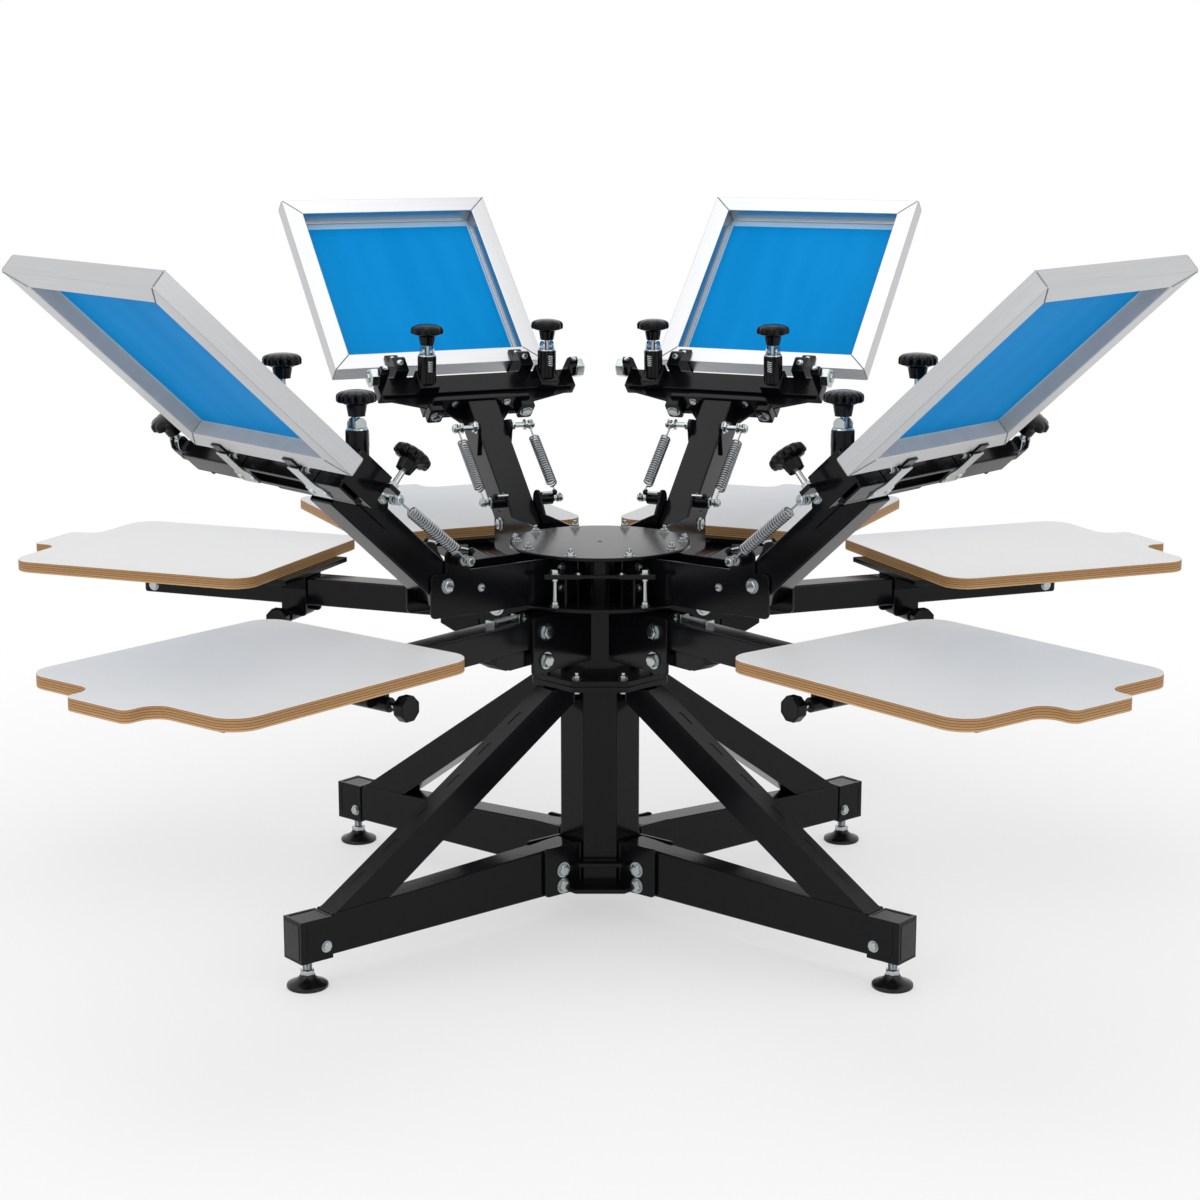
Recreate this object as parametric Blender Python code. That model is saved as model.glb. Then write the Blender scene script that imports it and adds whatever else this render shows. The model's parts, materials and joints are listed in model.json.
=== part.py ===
"""Screen printing press: four hinged print heads over six platens, on a four-legged column.

Run with: blender --background --python part.py
Units are metres, +Z is up, and -Y is the front. The press stands on z = 0.
Every radial assembly is drawn along +X and then turned to its own azimuth, which is
counted from the front towards the left side, seen from above.
"""
import math

import bmesh
import bpy
from mathutils import Matrix, Vector

# Places round the two wheels
WHEEL_AXIS_Y = -0.0484
PLATEN_AZIMUTHS_DEG = (38.9, 111.2, 155.9, -155.9, -111.2, -38.9)
HEAD_AZIMUTHS_DEG = (48.9, 155.0, -155.0, -48.9)
LEG_AZIMUTHS_DEG = (50.8, 130.1, -130.1, -50.8)
SIDE_NAMES = ("front_left", "back_left", "back_right", "front_right")
STATION_NAMES = ("front_left", "left", "back_left", "back_right", "right", "front_right")

# Clearances and joins
SEAT_GAP = 0.0003
RUNNING_GAP = 0.0005
WELD = 0.001
OVERRUN = 0.004

# Column and its spindle
COLUMN_FLATS = 0.137
COLUMN_BOTTOM_Z = 0.060
FLANGE_FLATS = 0.233
FLANGE_THICKNESS = 0.010
FLANGE_TOP_Z = 0.434
FOOT_PLATE_FLATS = 0.205
FOOT_PLATE_THICKNESS = 0.008
COLLAR_FLATS = 0.180
COLLAR_Z = 0.104
COLLAR_THICKNESS = 0.007
SPINDLE_RADIUS = 0.020
FLANGE_BOLT_CIRCLE_RADIUS = 0.103
FLANGE_BOLT_AF = 0.013
FLANGE_BOLT_HEAD = 0.006
FLANGE_BOLT_COUNT = 8

# Legs
LEG_BEAM_WIDTH = 0.048
LEG_BEAM_INNER_Z = (0.058, 0.144)
LEG_BEAM_OUTER_Z = (0.053, 0.117)
LEG_END_RADIUS = 0.638
LEG_ROOT_GAP = 0.0015
LEG_STRUT_WIDTH = 0.044
LEG_STRUT_TOP_Z = 0.4225
LEG_STRUT_TOP_RADIUS = 0.123
LEG_STRUT_HEEL_Z = 0.394
LEG_STRUT_TOE_INSETS = (0.169, 0.062)
LEG_STRUT_SLOT_COUNT = 6
LEG_STRUT_SLOT_WIDTH = 0.014
LEG_STRUT_SLOT_LENGTH = 0.034
LEG_STRUT_SLOT_DEPTH = 0.004
LEG_SLEEVE_LENGTH = 0.058
LEG_SLEEVE_WALL = 0.0025
LEG_SLEEVE_Z = (0.0495, 0.1265)
LEG_SLEEVE_BOLT_RISE = 0.022
LEG_SLEEVE_BOLT_AF = 0.013
LEG_BRACKET_LENGTH = 0.078
LEG_BRACKET_WALL = 0.006
LEG_BRACKET_Z = (0.0565, 0.1445)
LEG_BOLT_AF = 0.019
LEG_BOLT_HEAD = 0.008
LEG_BOLTS_Z = (0.072, 0.101)

# Levelling feet
FOOT_RADIUS = 0.034
FOOT_RIM = 0.006
FOOT_DISH = 0.016
FOOT_NECK_RADIUS = 0.012
FOOT_STUD_RADIUS = 0.008
FOOT_STUD_ENGAGEMENT = 0.026
FOOT_NUT_AF = 0.022
FOOT_NUT_HEIGHT = 0.009
FOOT_INSET = 0.024

# Lower wheel: hub and arms
HUB_BRACKET_INNER = 0.055
HUB_BRACKET_REACH = 0.215
HUB_BRACKET_BOTTOM_Z = 0.470
HUB_BRACKET_TOP_Z = 0.567
HUB_BRACKET_WALL = 0.006
HUB_TOP_Z = 0.569
HUB_BOLT_AF = 0.024
HUB_BOLT_HEAD = 0.010
HUB_BOLT_RADIUS_PLACE = 0.183
HUB_BOLT_HIGH_Z = 0.541
HUB_BOLT_LOW_Z = 0.492
ARM_SIZE = 0.050
ARM_TOP_Z = 0.564
ARM_INNER_RADIUS = 0.086
ARM_OUTER_RADIUS = 0.900
ARM_STOP_START = 0.222
ARM_STOP_LENGTH = 0.075
ARM_STOP_WIDTH = 0.040
ARM_STOP_DEPTH = 0.026
ARM_END_BOLT_INSET = 0.020
ARM_END_BOLT_AF = 0.014
ARM_END_BOLT_HEAD = 0.006

# Platens
PLATEN_WIDTH = 0.450
PLATEN_LENGTH = 0.487
PLATEN_THICKNESS = 0.020
PLATEN_INNER_RADIUS = 0.572
PLATEN_TOP_Z = 0.598
PLATEN_CORNER_RADIUS = 0.045
PLATEN_NECK_WIDTH = 0.130
PLATEN_NECK_REACH = 0.055
PLATEN_NECK_CORNER_RADIUS = 0.014
PLATEN_NECK_FILLET_RADIUS = 0.030

# Platen carriage and its lock knob
CARRIAGE_WALL = 0.005
CARRIAGE_INNER = 0.560
CARRIAGE_LENGTH = 0.370
CARRIAGE_SKIRT = 0.022
CARRIAGE_BAR_LENGTH = 0.240
CARRIAGE_BAR_WIDTH = 0.036
CARRIAGE_BAR_OVERHANG = 0.020
CARRIAGE_LUG_LENGTH = 0.050
CARRIAGE_LUG_DROP = 0.076
CARRIAGE_BOSS_RADIUS = 0.012
CARRIAGE_BOSS_REACH = 0.058
CARRIAGE_BOSS_Z = 0.499
LOCK_STUD_RADIUS = 0.005
LOCK_STUD_LENGTH = 0.014
LOCK_KNOB_FLATS = 0.040
LOCK_KNOB_LENGTH = 0.028
LOCK_KNOB_RIM_SHARE = 0.2

# Upper wheel: plates
HEAD_LOWER_PLATE_RADIUS = 0.187
HEAD_LOWER_PLATE_BOTTOM_Z = 0.577
HEAD_PLATE_THICKNESS = 0.006
HEAD_TOP_PLATE_RADIUS = 0.157
HEAD_TOP_PLATE_TOP_Z = 0.665
HEAD_BARREL_RADIUS = 0.050
HEAD_CENTRE_HOLE_RADIUS = 0.004
HEAD_RIM_BOLT_INSET = 0.013
HEAD_RIM_BOLT_AZIMUTHS_DEG = (20, 58, 90, 128, 162, -20, -58, -90, -128, -162)
HEAD_RIM_BOLT_AF = 0.011
HEAD_RIM_BOLT_HEAD = 0.006
STOP_BAR_LENGTH = 0.186
STOP_BAR_WIDTH = 0.030
STOP_BAR_THICKNESS = 0.008
STOP_BAR_Z = 0.630
STOP_BAR_PLACE = 0.148
STOP_POST_RADIUS = 0.007
STOP_WEB_SHARE = 0.3
STOP_POST_SPREAD = 0.150
STOP_WEB_SPREAD = 0.110
STOP_WEB_THICKNESS = 0.010

# Head yokes
PIVOT_RADIUS_PLACE = 0.360
PIVOT_Z = 0.640
PIVOT_PIN_RADIUS = 0.008
YOKE_WALL = 0.005
YOKE_INNER = 0.081
YOKE_NOSE = 0.032
YOKE_NOSE_BOTTOM_Z = 0.606
YOKE_NOSE_TOP_Z = 0.661
YOKE_WEB_REACH = 0.300
YOKE_PIN_HEAD_AF = 0.017
YOKE_PIN_HEAD = 0.008
YOKE_EAR_BACK = 0.015
YOKE_EAR_RISE = 0.045
YOKE_EAR_HALF = 0.017
YOKE_POST_RADIUS = 0.012
YOKE_CHAMFER_SHARE = 0.25
YOKE_POST_REACH = 0.062

# Head arms, in the frame of the lift pivot: along the arm, across it and square to it
FRONT_LIFT_REST_DEG = 42.0
BACK_LIFT_REST_DEG = 44.5
HEAD_ARM_SIZE = 0.060
HEAD_ARM_HEEL = 0.030
HEAD_ARM_LENGTH = 0.270
HEAD_END_PLATE_THICKNESS = 0.008
HEAD_END_PLATE_WIDTH = 0.200
HEAD_END_PLATE_LOW = 0.020
HEAD_END_PLATE_HIGH = 0.034
HEAD_EAR_ALONG = 0.200
HEAD_EAR_ABOVE = 0.036
HEAD_EAR_HALF = 0.020
HEAD_EAR_WALL = 0.005

# Springs
SPRING_ACROSS = 0.073
SPRING_PIN_RADIUS = 0.005
SPRING_PIN_REACH = 0.083
SPRING_COIL_RADIUS = 0.0095
SPRING_WIRE_RADIUS = 0.0017
SPRING_CURLS = 8
SPRING_POINTS_PER_CURL = 8
SPRING_BODY_SHARE = 0.55

# Screen clamp
FRONT_CLAMP_ENDS = (-0.300, 0.145)
BACK_CLAMP_ENDS = (-0.215, 0.190)
CLAMP_DEPTH = 0.072
CLAMP_TOP = 0.010
CLAMP_DROP = 0.026
CLAMP_WALL = 0.004
CLAMP_LIP = 0.008
CLAMP_SHOULDER = 0.105
FRONT_STRAPS_ACROSS = (-0.136, 0.064)
BACK_STRAPS_ACROSS = (-0.118, 0.140)
FRONT_POSTS_ACROSS = (-0.085, 0.114)
BACK_POSTS_ACROSS = (-0.154, 0.095)
FAR_FRONT_STUD_EXTRA = 0.040
JAW_WIDTH = 0.026
JAW_BASE_DEPTH = 0.050
JAW_BASE_RISE = 0.022
JAW_TOP_LIP = 0.012
JAW_LIP_THICKNESS = 0.003
JAW_LIP_REACH = 0.026
POST_RADIUS = 0.018
POST_LENGTH = 0.052
POST_BLOCK_WIDTH = 0.042
POST_TILT_DEG = 42.0
POST_CAP_RADIUS = 0.017
POST_CAP_THICKNESS = 0.004
KNOB_STUD_RADIUS = 0.005
KNOB_STUD_LENGTH = 0.022
KNOB_HUB_RADIUS = 0.014
KNOB_HUB_LENGTH = 0.020
KNOB_RADIUS = 0.030
KNOB_THICKNESS = 0.018
KNOB_LOBE_SHARE = 0.12
KNOB_HUB_FOOT_SHARE = 0.75
KNOB_LOBES = 10
END_SCREW_AF = 0.024
END_SCREW_LENGTH = 0.016
END_PLATE_RISE = 0.022
UPRIGHT_DEPTH = 0.018
UPRIGHT_WIDTH = 0.016
UPRIGHT_RISE = 0.042
SIDE_POST_RADIUS = 0.011
SIDE_POST_LENGTH = 0.030
SIDE_POST_TILT_DEG = 58.0
NEAR_LUG_REACH = 0.044
NEAR_LUG_DEPTH = 0.024
NEAR_LUG_THICKNESS = 0.008
NEAR_STUD_EXTRA = 0.010

# Screen
SCREEN_WIDTH = 0.432
SCREEN_LENGTH = 0.436
SCREEN_TUBE = 0.036
SCREEN_TUBE_HEIGHT = 0.032
SCREEN_STANDOFF = 0.0357
SCREEN_BELOW_PIVOT = 0.034
SCREEN_MESH_THICKNESS = 0.0012
BACK_SCREEN_SHIFT = 0.041

ARM_BOTTOM_Z = ARM_TOP_Z - ARM_SIZE
PLATEN_BOTTOM_Z = PLATEN_TOP_Z - PLATEN_THICKNESS
HEAD_LOWER_PLATE_TOP_Z = HEAD_LOWER_PLATE_BOTTOM_Z + HEAD_PLATE_THICKNESS
HEAD_TOP_PLATE_BOTTOM_Z = HEAD_TOP_PLATE_TOP_Z - HEAD_PLATE_THICKNESS
HUB_BOTTOM_Z = FLANGE_TOP_Z + SEAT_GAP
COLUMN_CORNER_RADIUS = COLUMN_FLATS / 2 / math.cos(math.pi / 8)
LEG_INNER_RADIUS = COLUMN_CORNER_RADIUS + LEG_ROOT_GAP
LEG_STRUT_TOE_RADII = [LEG_END_RADIUS - inset for inset in LEG_STRUT_TOE_INSETS]
FOOT_PLACE_RADIUS = LEG_END_RADIUS - FOOT_INSET
CLAMP_START = HEAD_ARM_LENGTH + HEAD_END_PLATE_THICKNESS + SEAT_GAP
CLAMP_END = CLAMP_START + CLAMP_DEPTH
SCREEN_START = CLAMP_END + SCREEN_STANDOFF

ROUND_SIDES = 16
DISC_SIDES = 32
BORE_SIDES = 24
FOOT_SIDES = 18
KNOB_HUB_SIDES = 10


def clear_scene():
    """Remove every object that the scene starts with."""
    for thing in list(bpy.data.objects):
        bpy.data.objects.remove(thing, do_unlink=True)


def make_collection(name):
    """Return a new collection that is linked to the scene."""
    group = bpy.data.collections.new(name)
    bpy.context.scene.collection.children.link(group)
    return group


def make_material(name, colour, roughness, metallic):
    """Return a Principled material of one colour."""
    material = bpy.data.materials.new(name)
    material.use_nodes = True
    shader = material.node_tree.nodes["Principled BSDF"]
    shader.inputs["Base Color"].default_value = (*colour, 1)
    shader.inputs["Roughness"].default_value = roughness
    shader.inputs["Metallic"].default_value = metallic
    material.diffuse_color = (*colour, 1)
    return material


clear_scene()
PRESS = make_collection("screen_printing_press")
BLACK = make_material("black_powder_coat", (0.02, 0.02, 0.022), 0.38, 0.0)
PLASTIC = make_material("black_plastic", (0.012, 0.012, 0.012), 0.45, 0.0)
ZINC = make_material("zinc_plate", (0.62, 0.63, 0.62), 0.3, 1.0)
ALUMINIUM = make_material("brushed_aluminium", (0.72, 0.73, 0.74), 0.35, 1.0)
LAMINATE = make_material("white_laminate", (0.86, 0.86, 0.86), 0.4, 0.0)


# Solids


def from_bmesh(shape):
    """Turn a bmesh into a loose object that later steps join or cut."""
    mesh = bpy.data.meshes.new("piece")
    shape.to_mesh(mesh)
    shape.free()
    piece = bpy.data.objects.new("piece", mesh)
    PRESS.objects.link(piece)
    return piece


def box(x_span, y_span, z_span):
    """Return a box between three pairs of limits."""
    shape = bmesh.new()
    bmesh.ops.create_cube(shape, size=1)
    spans = (x_span, y_span, z_span)
    size = [high - low for low, high in spans]
    middle = [(high + low) / 2 for low, high in spans]
    bmesh.ops.scale(shape, vec=size, verts=shape.verts)
    bmesh.ops.translate(shape, vec=middle, verts=shape.verts)
    return from_bmesh(shape)


def rod(start, end, radius, sides=ROUND_SIDES, end_radius=None, turn=0.0):
    """Return a straight round, hexagonal or conical bar from start to end."""
    start, end = Vector(start), Vector(end)
    axis = end - start
    shape = bmesh.new()
    far_radius = radius if end_radius is None else end_radius
    bmesh.ops.create_cone(shape, cap_ends=True, segments=sides, radius1=radius, radius2=far_radius,
                          depth=axis.length)
    bmesh.ops.rotate(shape, cent=(0, 0, 0), matrix=Matrix.Rotation(turn, 3, "Z"), verts=shape.verts)
    bmesh.ops.rotate(shape, cent=(0, 0, 0), matrix=Vector((0, 0, 1)).rotation_difference(axis).to_matrix(),
                     verts=shape.verts)
    bmesh.ops.translate(shape, vec=(start + end) / 2, verts=shape.verts)
    return from_bmesh(shape)


def hexagon(start, end, across_flats):
    """Return a hexagonal bolt head or nut between two points."""
    return rod(start, end, across_flats / math.sqrt(3), sides=6)


def octagon(across_flats, low, high):
    """Return an upright eight-sided prism with a flat towards the front."""
    corner = across_flats / 2 / math.cos(math.pi / 8)
    return rod((0, 0, low), (0, 0, high), corner, sides=8, turn=math.pi / 8)


def plate(outline, low, high):
    """Return a flat plate with the given outline, from height low to height high."""
    curve = bpy.data.curves.new("outline", "CURVE")
    curve.dimensions = "2D"
    curve.fill_mode = "BOTH"
    curve.extrude = (high - low) / 2
    spline = curve.splines.new("POLY")
    spline.points.add(len(outline) - 1)
    for point, (x, y) in zip(spline.points, outline):
        point.co = (x, y, 0, 1)
    spline.use_cyclic_u = True
    guide = bpy.data.objects.new("outline", curve)
    PRESS.objects.link(guide)
    piece = settle(guide)
    piece.data.transform(Matrix.Translation((0, 0, (high + low) / 2)))
    return piece


def side_plate(outline, low, high):
    """Return a plate whose outline lies in X and Z, and whose thickness runs along Y."""
    piece = plate(outline, -high, -low)
    piece.data.transform(Matrix.Rotation(math.pi / 2, 4, "X"))
    return piece


def front_plate(outline, low, high):
    """Return a plate whose outline lies in Y and Z, and whose thickness runs along X."""
    piece = plate(outline, low, high)
    piece.data.transform(Matrix(((0, 0, 1, 0), (1, 0, 0, 0), (0, 1, 0, 0), (0, 0, 0, 1))))
    return piece


def settle(thing):
    """Replace an object by the welded mesh that it evaluates to."""
    bpy.context.view_layer.update()
    ready = thing.evaluated_get(bpy.context.evaluated_depsgraph_get())
    mesh = bpy.data.meshes.new_from_object(ready)
    shape = bmesh.new()
    shape.from_mesh(mesh)
    bmesh.ops.remove_doubles(shape, verts=shape.verts, dist=WELD / 100)
    bmesh.ops.dissolve_limit(shape, angle_limit=math.radians(0.05), verts=shape.verts, edges=shape.edges)
    shape.to_mesh(mesh)
    shape.free()
    piece = bpy.data.objects.new("piece", mesh)
    PRESS.objects.link(piece)
    piece.matrix_world = thing.matrix_world
    bpy.data.objects.remove(thing, do_unlink=True)
    return piece


def boolean(body, others, operation):
    """Join other pieces to a body, or cut them out of it, and return the result."""
    for other in others:
        step = body.modifiers.new("step", "BOOLEAN")
        step.operation = operation
        step.solver = "EXACT"
        step.object = other
    result = settle(body)
    for other in others:
        bpy.data.objects.remove(other, do_unlink=True)
    return result


def fuse(pieces, cuts=()):
    """Weld pieces into one body and cut the holes in it."""
    body = boolean(pieces[0], pieces[1:], "UNION") if len(pieces) > 1 else pieces[0]
    return boolean(body, cuts, "DIFFERENCE") if cuts else body


def name_piece(piece, name, material, smooth_deg=None):
    """Give a finished body its name and material, and smooth its round faces."""
    piece.name = name
    piece.data.name = name
    piece.data.materials.clear()
    piece.data.materials.append(material)
    if smooth_deg is not None:
        piece.data.shade_smooth()
        piece.data.set_sharp_from_angle(angle=math.radians(smooth_deg))
    return piece


def copy_of(piece, name):
    """Return another object that shares the mesh of a finished body."""
    twin = bpy.data.objects.new(name, piece.data)
    PRESS.objects.link(twin)
    return twin


def azimuth_turn(azimuth_deg):
    """Return the turn about Z that carries +X to an azimuth."""
    return -math.pi / 2 - math.radians(azimuth_deg)


def station(name, azimuth_deg, out=0.0, height=0.0, tilt_deg=0.0):
    """Return an empty on the wheel's radius at an azimuth, which a station's pieces hang on."""
    empty = bpy.data.objects.new(name, None)
    PRESS.objects.link(empty)
    turn = Matrix.Rotation(azimuth_turn(azimuth_deg), 4, "Z")
    tilt = Matrix.Rotation(-math.radians(tilt_deg), 4, "Y")
    empty.matrix_world = (Matrix.Translation((0, WHEEL_AXIS_Y, 0)) @ turn
                          @ Matrix.Translation((out, 0, height)) @ tilt)
    return empty


def hang(piece, empty, shift=(0, 0, 0), turn=0.0):
    """Parent a piece to an empty, at a shift and a turn about Z in the empty's frame."""
    piece.parent = empty
    piece.location = shift
    piece.rotation_euler = (0, 0, turn)
    return piece


# Outlines


def arc(centre, radius, start_deg, end_deg, steps):
    """Return the points of an arc in the order in which it is drawn."""
    points = []
    for step in range(steps + 1):
        angle = math.radians(start_deg + (end_deg - start_deg) * step / steps)
        points.append((centre[0] + radius * math.cos(angle), centre[1] + radius * math.sin(angle)))
    return points


def platen_outline():
    """Return a platen's outline, with its neck at the outer end and rounded corners."""
    inner, outer = PLATEN_INNER_RADIUS, PLATEN_INNER_RADIUS + PLATEN_LENGTH
    tip = outer + PLATEN_NECK_REACH
    half, neck = PLATEN_WIDTH / 2, PLATEN_NECK_WIDTH / 2
    corner, nose, fillet = PLATEN_CORNER_RADIUS, PLATEN_NECK_CORNER_RADIUS, PLATEN_NECK_FILLET_RADIUS
    right = arc((inner + corner, -half + corner), corner, 180, 270, 4)
    right += arc((outer - corner, -half + corner), corner, 270, 360, 5)
    right += arc((outer + fillet, -neck - fillet), fillet, 180, 90, 4)
    right += arc((tip - nose, -neck + nose), nose, 270, 360, 3)
    left = [(x, -y) for x, y in reversed(right)]
    return right + left


def octagon_bolts(circle_radius, low, high, across_flats, count):
    """Return a ring of bolt heads."""
    heads = []
    for index in range(count):
        angle = 2 * math.pi * (index + 1 / 2) / count
        x, y = circle_radius * math.cos(angle), circle_radius * math.sin(angle)
        heads.append(hexagon((x, y, low), (x, y, high), across_flats))
    return heads


# Base


def turned_to(piece, azimuth_deg):
    """Turn a loose piece, drawn along +X, to an azimuth."""
    piece.data.transform(Matrix.Rotation(azimuth_turn(azimuth_deg), 4, "Z"))
    return piece


def leg_beam_z(radius):
    """Return the heights of a leg beam's underside and top at a radius."""
    share = (radius - LEG_INNER_RADIUS) / (LEG_END_RADIUS - LEG_INNER_RADIUS)
    return [inner + (outer - inner) * share for inner, outer in zip(LEG_BEAM_INNER_Z, LEG_BEAM_OUTER_Z)]


def leg_brackets(azimuth_deg):
    """Return the pair of plates that hold one leg, with the bolts through them."""
    parts = []
    inner = COLUMN_FLATS / 2 - WELD
    outer = COLUMN_FLATS / 2 + LEG_BRACKET_LENGTH
    middle = (inner + outer) / 2
    for side in (-1, 1):
        near = LEG_BEAM_WIDTH / 2 + SEAT_GAP
        far = near + LEG_BRACKET_WALL
        walls = sorted((side * near, side * far))
        parts.append(box((inner - LEG_BRACKET_WALL, outer), walls, LEG_BRACKET_Z))
        for z in LEG_BOLTS_Z:
            parts.append(hexagon((middle, side * (far - WELD), z), (middle, side * (far + LEG_BOLT_HEAD), z),
                                 LEG_BOLT_AF))
    return [turned_to(part, azimuth_deg) for part in parts]


def notched_octagon(across_flats, low, high):
    """Return an eight-sided plate with a notch for the root of each leg."""
    room = LEG_BEAM_WIDTH / 2 + SEAT_GAP + LEG_BRACKET_WALL / 2
    notches = []
    for azimuth_deg in LEG_AZIMUTHS_DEG:
        notch = box((LEG_INNER_RADIUS - SEAT_GAP, across_flats), (-room, room),
                    (low - OVERRUN, high + OVERRUN))
        notches.append(turned_to(notch, azimuth_deg))
    return fuse([octagon(across_flats, low, high)], notches)


def build_column():
    """Build the eight-sided column with its flanges, leg brackets and welded spindle."""
    parts = [
        octagon(COLUMN_FLATS, COLUMN_BOTTOM_Z + WELD, FLANGE_TOP_Z - WELD),
        notched_octagon(FOOT_PLATE_FLATS, COLUMN_BOTTOM_Z, COLUMN_BOTTOM_Z + FOOT_PLATE_THICKNESS),
        notched_octagon(COLLAR_FLATS, COLLAR_Z, COLLAR_Z + COLLAR_THICKNESS),
        octagon(FLANGE_FLATS, FLANGE_TOP_Z - FLANGE_THICKNESS, FLANGE_TOP_Z),
        rod((0, 0, FLANGE_TOP_Z - FLANGE_THICKNESS),
            (0, 0, HEAD_TOP_PLATE_BOTTOM_Z - SEAT_GAP), SPINDLE_RADIUS,
            sides=BORE_SIDES),
    ]
    for azimuth_deg in LEG_AZIMUTHS_DEG:
        parts += leg_brackets(azimuth_deg)
    body = fuse(parts)
    root = station("column_place", 0)
    root.rotation_euler = (0, 0, 0)
    hang(name_piece(body, "column", BLACK, 30), root)


def build_leg_mesh():
    """Build one leg: tapered beam, strut with slots, end sleeve and the hole for its foot."""
    inner_low, inner_high = LEG_BEAM_INNER_Z
    outer_low, outer_high = LEG_BEAM_OUTER_Z
    beam = side_plate([(LEG_INNER_RADIUS, inner_low), (LEG_END_RADIUS, outer_low),
                       (LEG_END_RADIUS, outer_high),
                       (LEG_INNER_RADIUS, inner_high)], -LEG_BEAM_WIDTH / 2, LEG_BEAM_WIDTH / 2)
    near_toe, far_toe = LEG_STRUT_TOE_RADII
    toe_z = leg_beam_z(far_toe)[1]
    strut = side_plate([(LEG_INNER_RADIUS, LEG_STRUT_HEEL_Z), (near_toe, leg_beam_z(near_toe)[1] - WELD),
                        (far_toe, toe_z - WELD), (LEG_STRUT_TOP_RADIUS, LEG_STRUT_TOP_Z),
                        (LEG_INNER_RADIUS, LEG_STRUT_TOP_Z)], -LEG_STRUT_WIDTH / 2, LEG_STRUT_WIDTH / 2)
    sleeve_start = LEG_END_RADIUS - LEG_SLEEVE_LENGTH
    sleeve_low, sleeve_high = LEG_SLEEVE_Z
    sleeve_half = LEG_BEAM_WIDTH / 2 + LEG_SLEEVE_WALL
    sleeve = box((sleeve_start, LEG_END_RADIUS + LEG_SLEEVE_WALL), (-sleeve_half, sleeve_half), LEG_SLEEVE_Z)
    bolts = []
    bolt_x, bolt_z = sleeve_start + LEG_SLEEVE_BOLT_AF, sleeve_low + LEG_SLEEVE_BOLT_RISE
    for side in (-1, 1):
        bolts.append(hexagon((bolt_x, side * (sleeve_half - WELD), bolt_z),
                             (bolt_x, side * (sleeve_half + LEG_BOLT_HEAD), bolt_z), LEG_SLEEVE_BOLT_AF))
    stud_room = FOOT_STUD_RADIUS / math.cos(math.pi / ROUND_SIDES) + RUNNING_GAP
    cuts = [rod((FOOT_PLACE_RADIUS, 0, sleeve_low - OVERRUN),
                (FOOT_PLACE_RADIUS, 0, sleeve_low + FOOT_STUD_ENGAGEMENT + RUNNING_GAP), stud_room)]
    fall = math.atan2(LEG_STRUT_TOP_Z - toe_z, far_toe - LEG_STRUT_TOP_RADIUS)
    run = (far_toe - LEG_STRUT_TOP_RADIUS) / (LEG_STRUT_SLOT_COUNT + 1)
    for index in range(LEG_STRUT_SLOT_COUNT):
        x = LEG_STRUT_TOP_RADIUS + run * (index + 1)
        z = LEG_STRUT_TOP_Z - (x - LEG_STRUT_TOP_RADIUS) * math.tan(fall)
        half = LEG_STRUT_SLOT_LENGTH / 2
        slot = box((-half, half), (-LEG_STRUT_SLOT_WIDTH / 2, LEG_STRUT_SLOT_WIDTH / 2),
                   (-LEG_STRUT_SLOT_DEPTH, OVERRUN))
        slot.data.transform(Matrix.Translation((x, 0, z)) @ Matrix.Rotation(fall, 4, "Y"))
        cuts.append(slot)
    return fuse([beam, strut, sleeve] + bolts, cuts)


def build_foot_mesh():
    """Build one levelling foot: dished pad, stud and lock nut."""
    sleeve_low = LEG_SLEEVE_Z[0]
    nut_low = FOOT_RIM + FOOT_DISH - WELD
    pad = rod((0, 0, 0), (0, 0, FOOT_RIM), FOOT_RADIUS, sides=FOOT_SIDES)
    dish = rod((0, 0, FOOT_RIM - WELD / 2), (0, 0, nut_low + WELD / 2), FOOT_RADIUS - WELD, sides=FOOT_SIDES,
               end_radius=FOOT_NECK_RADIUS)
    nut = hexagon((0, 0, nut_low), (0, 0, nut_low + FOOT_NUT_HEIGHT), FOOT_NUT_AF)
    stud = rod((0, 0, FOOT_RIM), (0, 0, sleeve_low + FOOT_STUD_ENGAGEMENT), FOOT_STUD_RADIUS)
    return fuse([pad, dish, nut, stud])


def build_legs():
    """Place the four legs and their levelling feet."""
    leg = build_leg_mesh()
    foot = build_foot_mesh()
    for index, (side, azimuth_deg) in enumerate(zip(SIDE_NAMES, LEG_AZIMUTHS_DEG)):
        leg_place = station("leg_place_" + side, azimuth_deg)
        body = leg if index == 0 else copy_of(leg, "leg")
        hang(name_piece(body, "leg_" + side, BLACK), leg_place)
        foot_place = station("foot_axis_" + side, azimuth_deg, out=FOOT_PLACE_RADIUS)
        body = foot if index == 0 else copy_of(foot, "foot")
        hang(name_piece(body, "levelling_foot_" + side, PLASTIC, 30), foot_place)


# Lower wheel


def hub_bracket(azimuth_deg):
    """Return the pair of plates that hold one platen arm, with their bolts."""
    parts = []
    for side in (-1, 1):
        near = ARM_SIZE / 2 + SEAT_GAP
        far = near + HUB_BRACKET_WALL
        parts.append(box((HUB_BRACKET_INNER, HUB_BRACKET_REACH), sorted((side * near, side * far)),
                         (HUB_BRACKET_BOTTOM_Z, HUB_BRACKET_TOP_Z)))
        for z in (HUB_BOLT_LOW_Z, HUB_BOLT_HIGH_Z):
            parts.append(hexagon((HUB_BOLT_RADIUS_PLACE, side * (far - WELD), z),
                                 (HUB_BOLT_RADIUS_PLACE, side * (far + HUB_BOLT_HEAD), z), HUB_BOLT_AF))
    return [turned_to(part, azimuth_deg) for part in parts]


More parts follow.
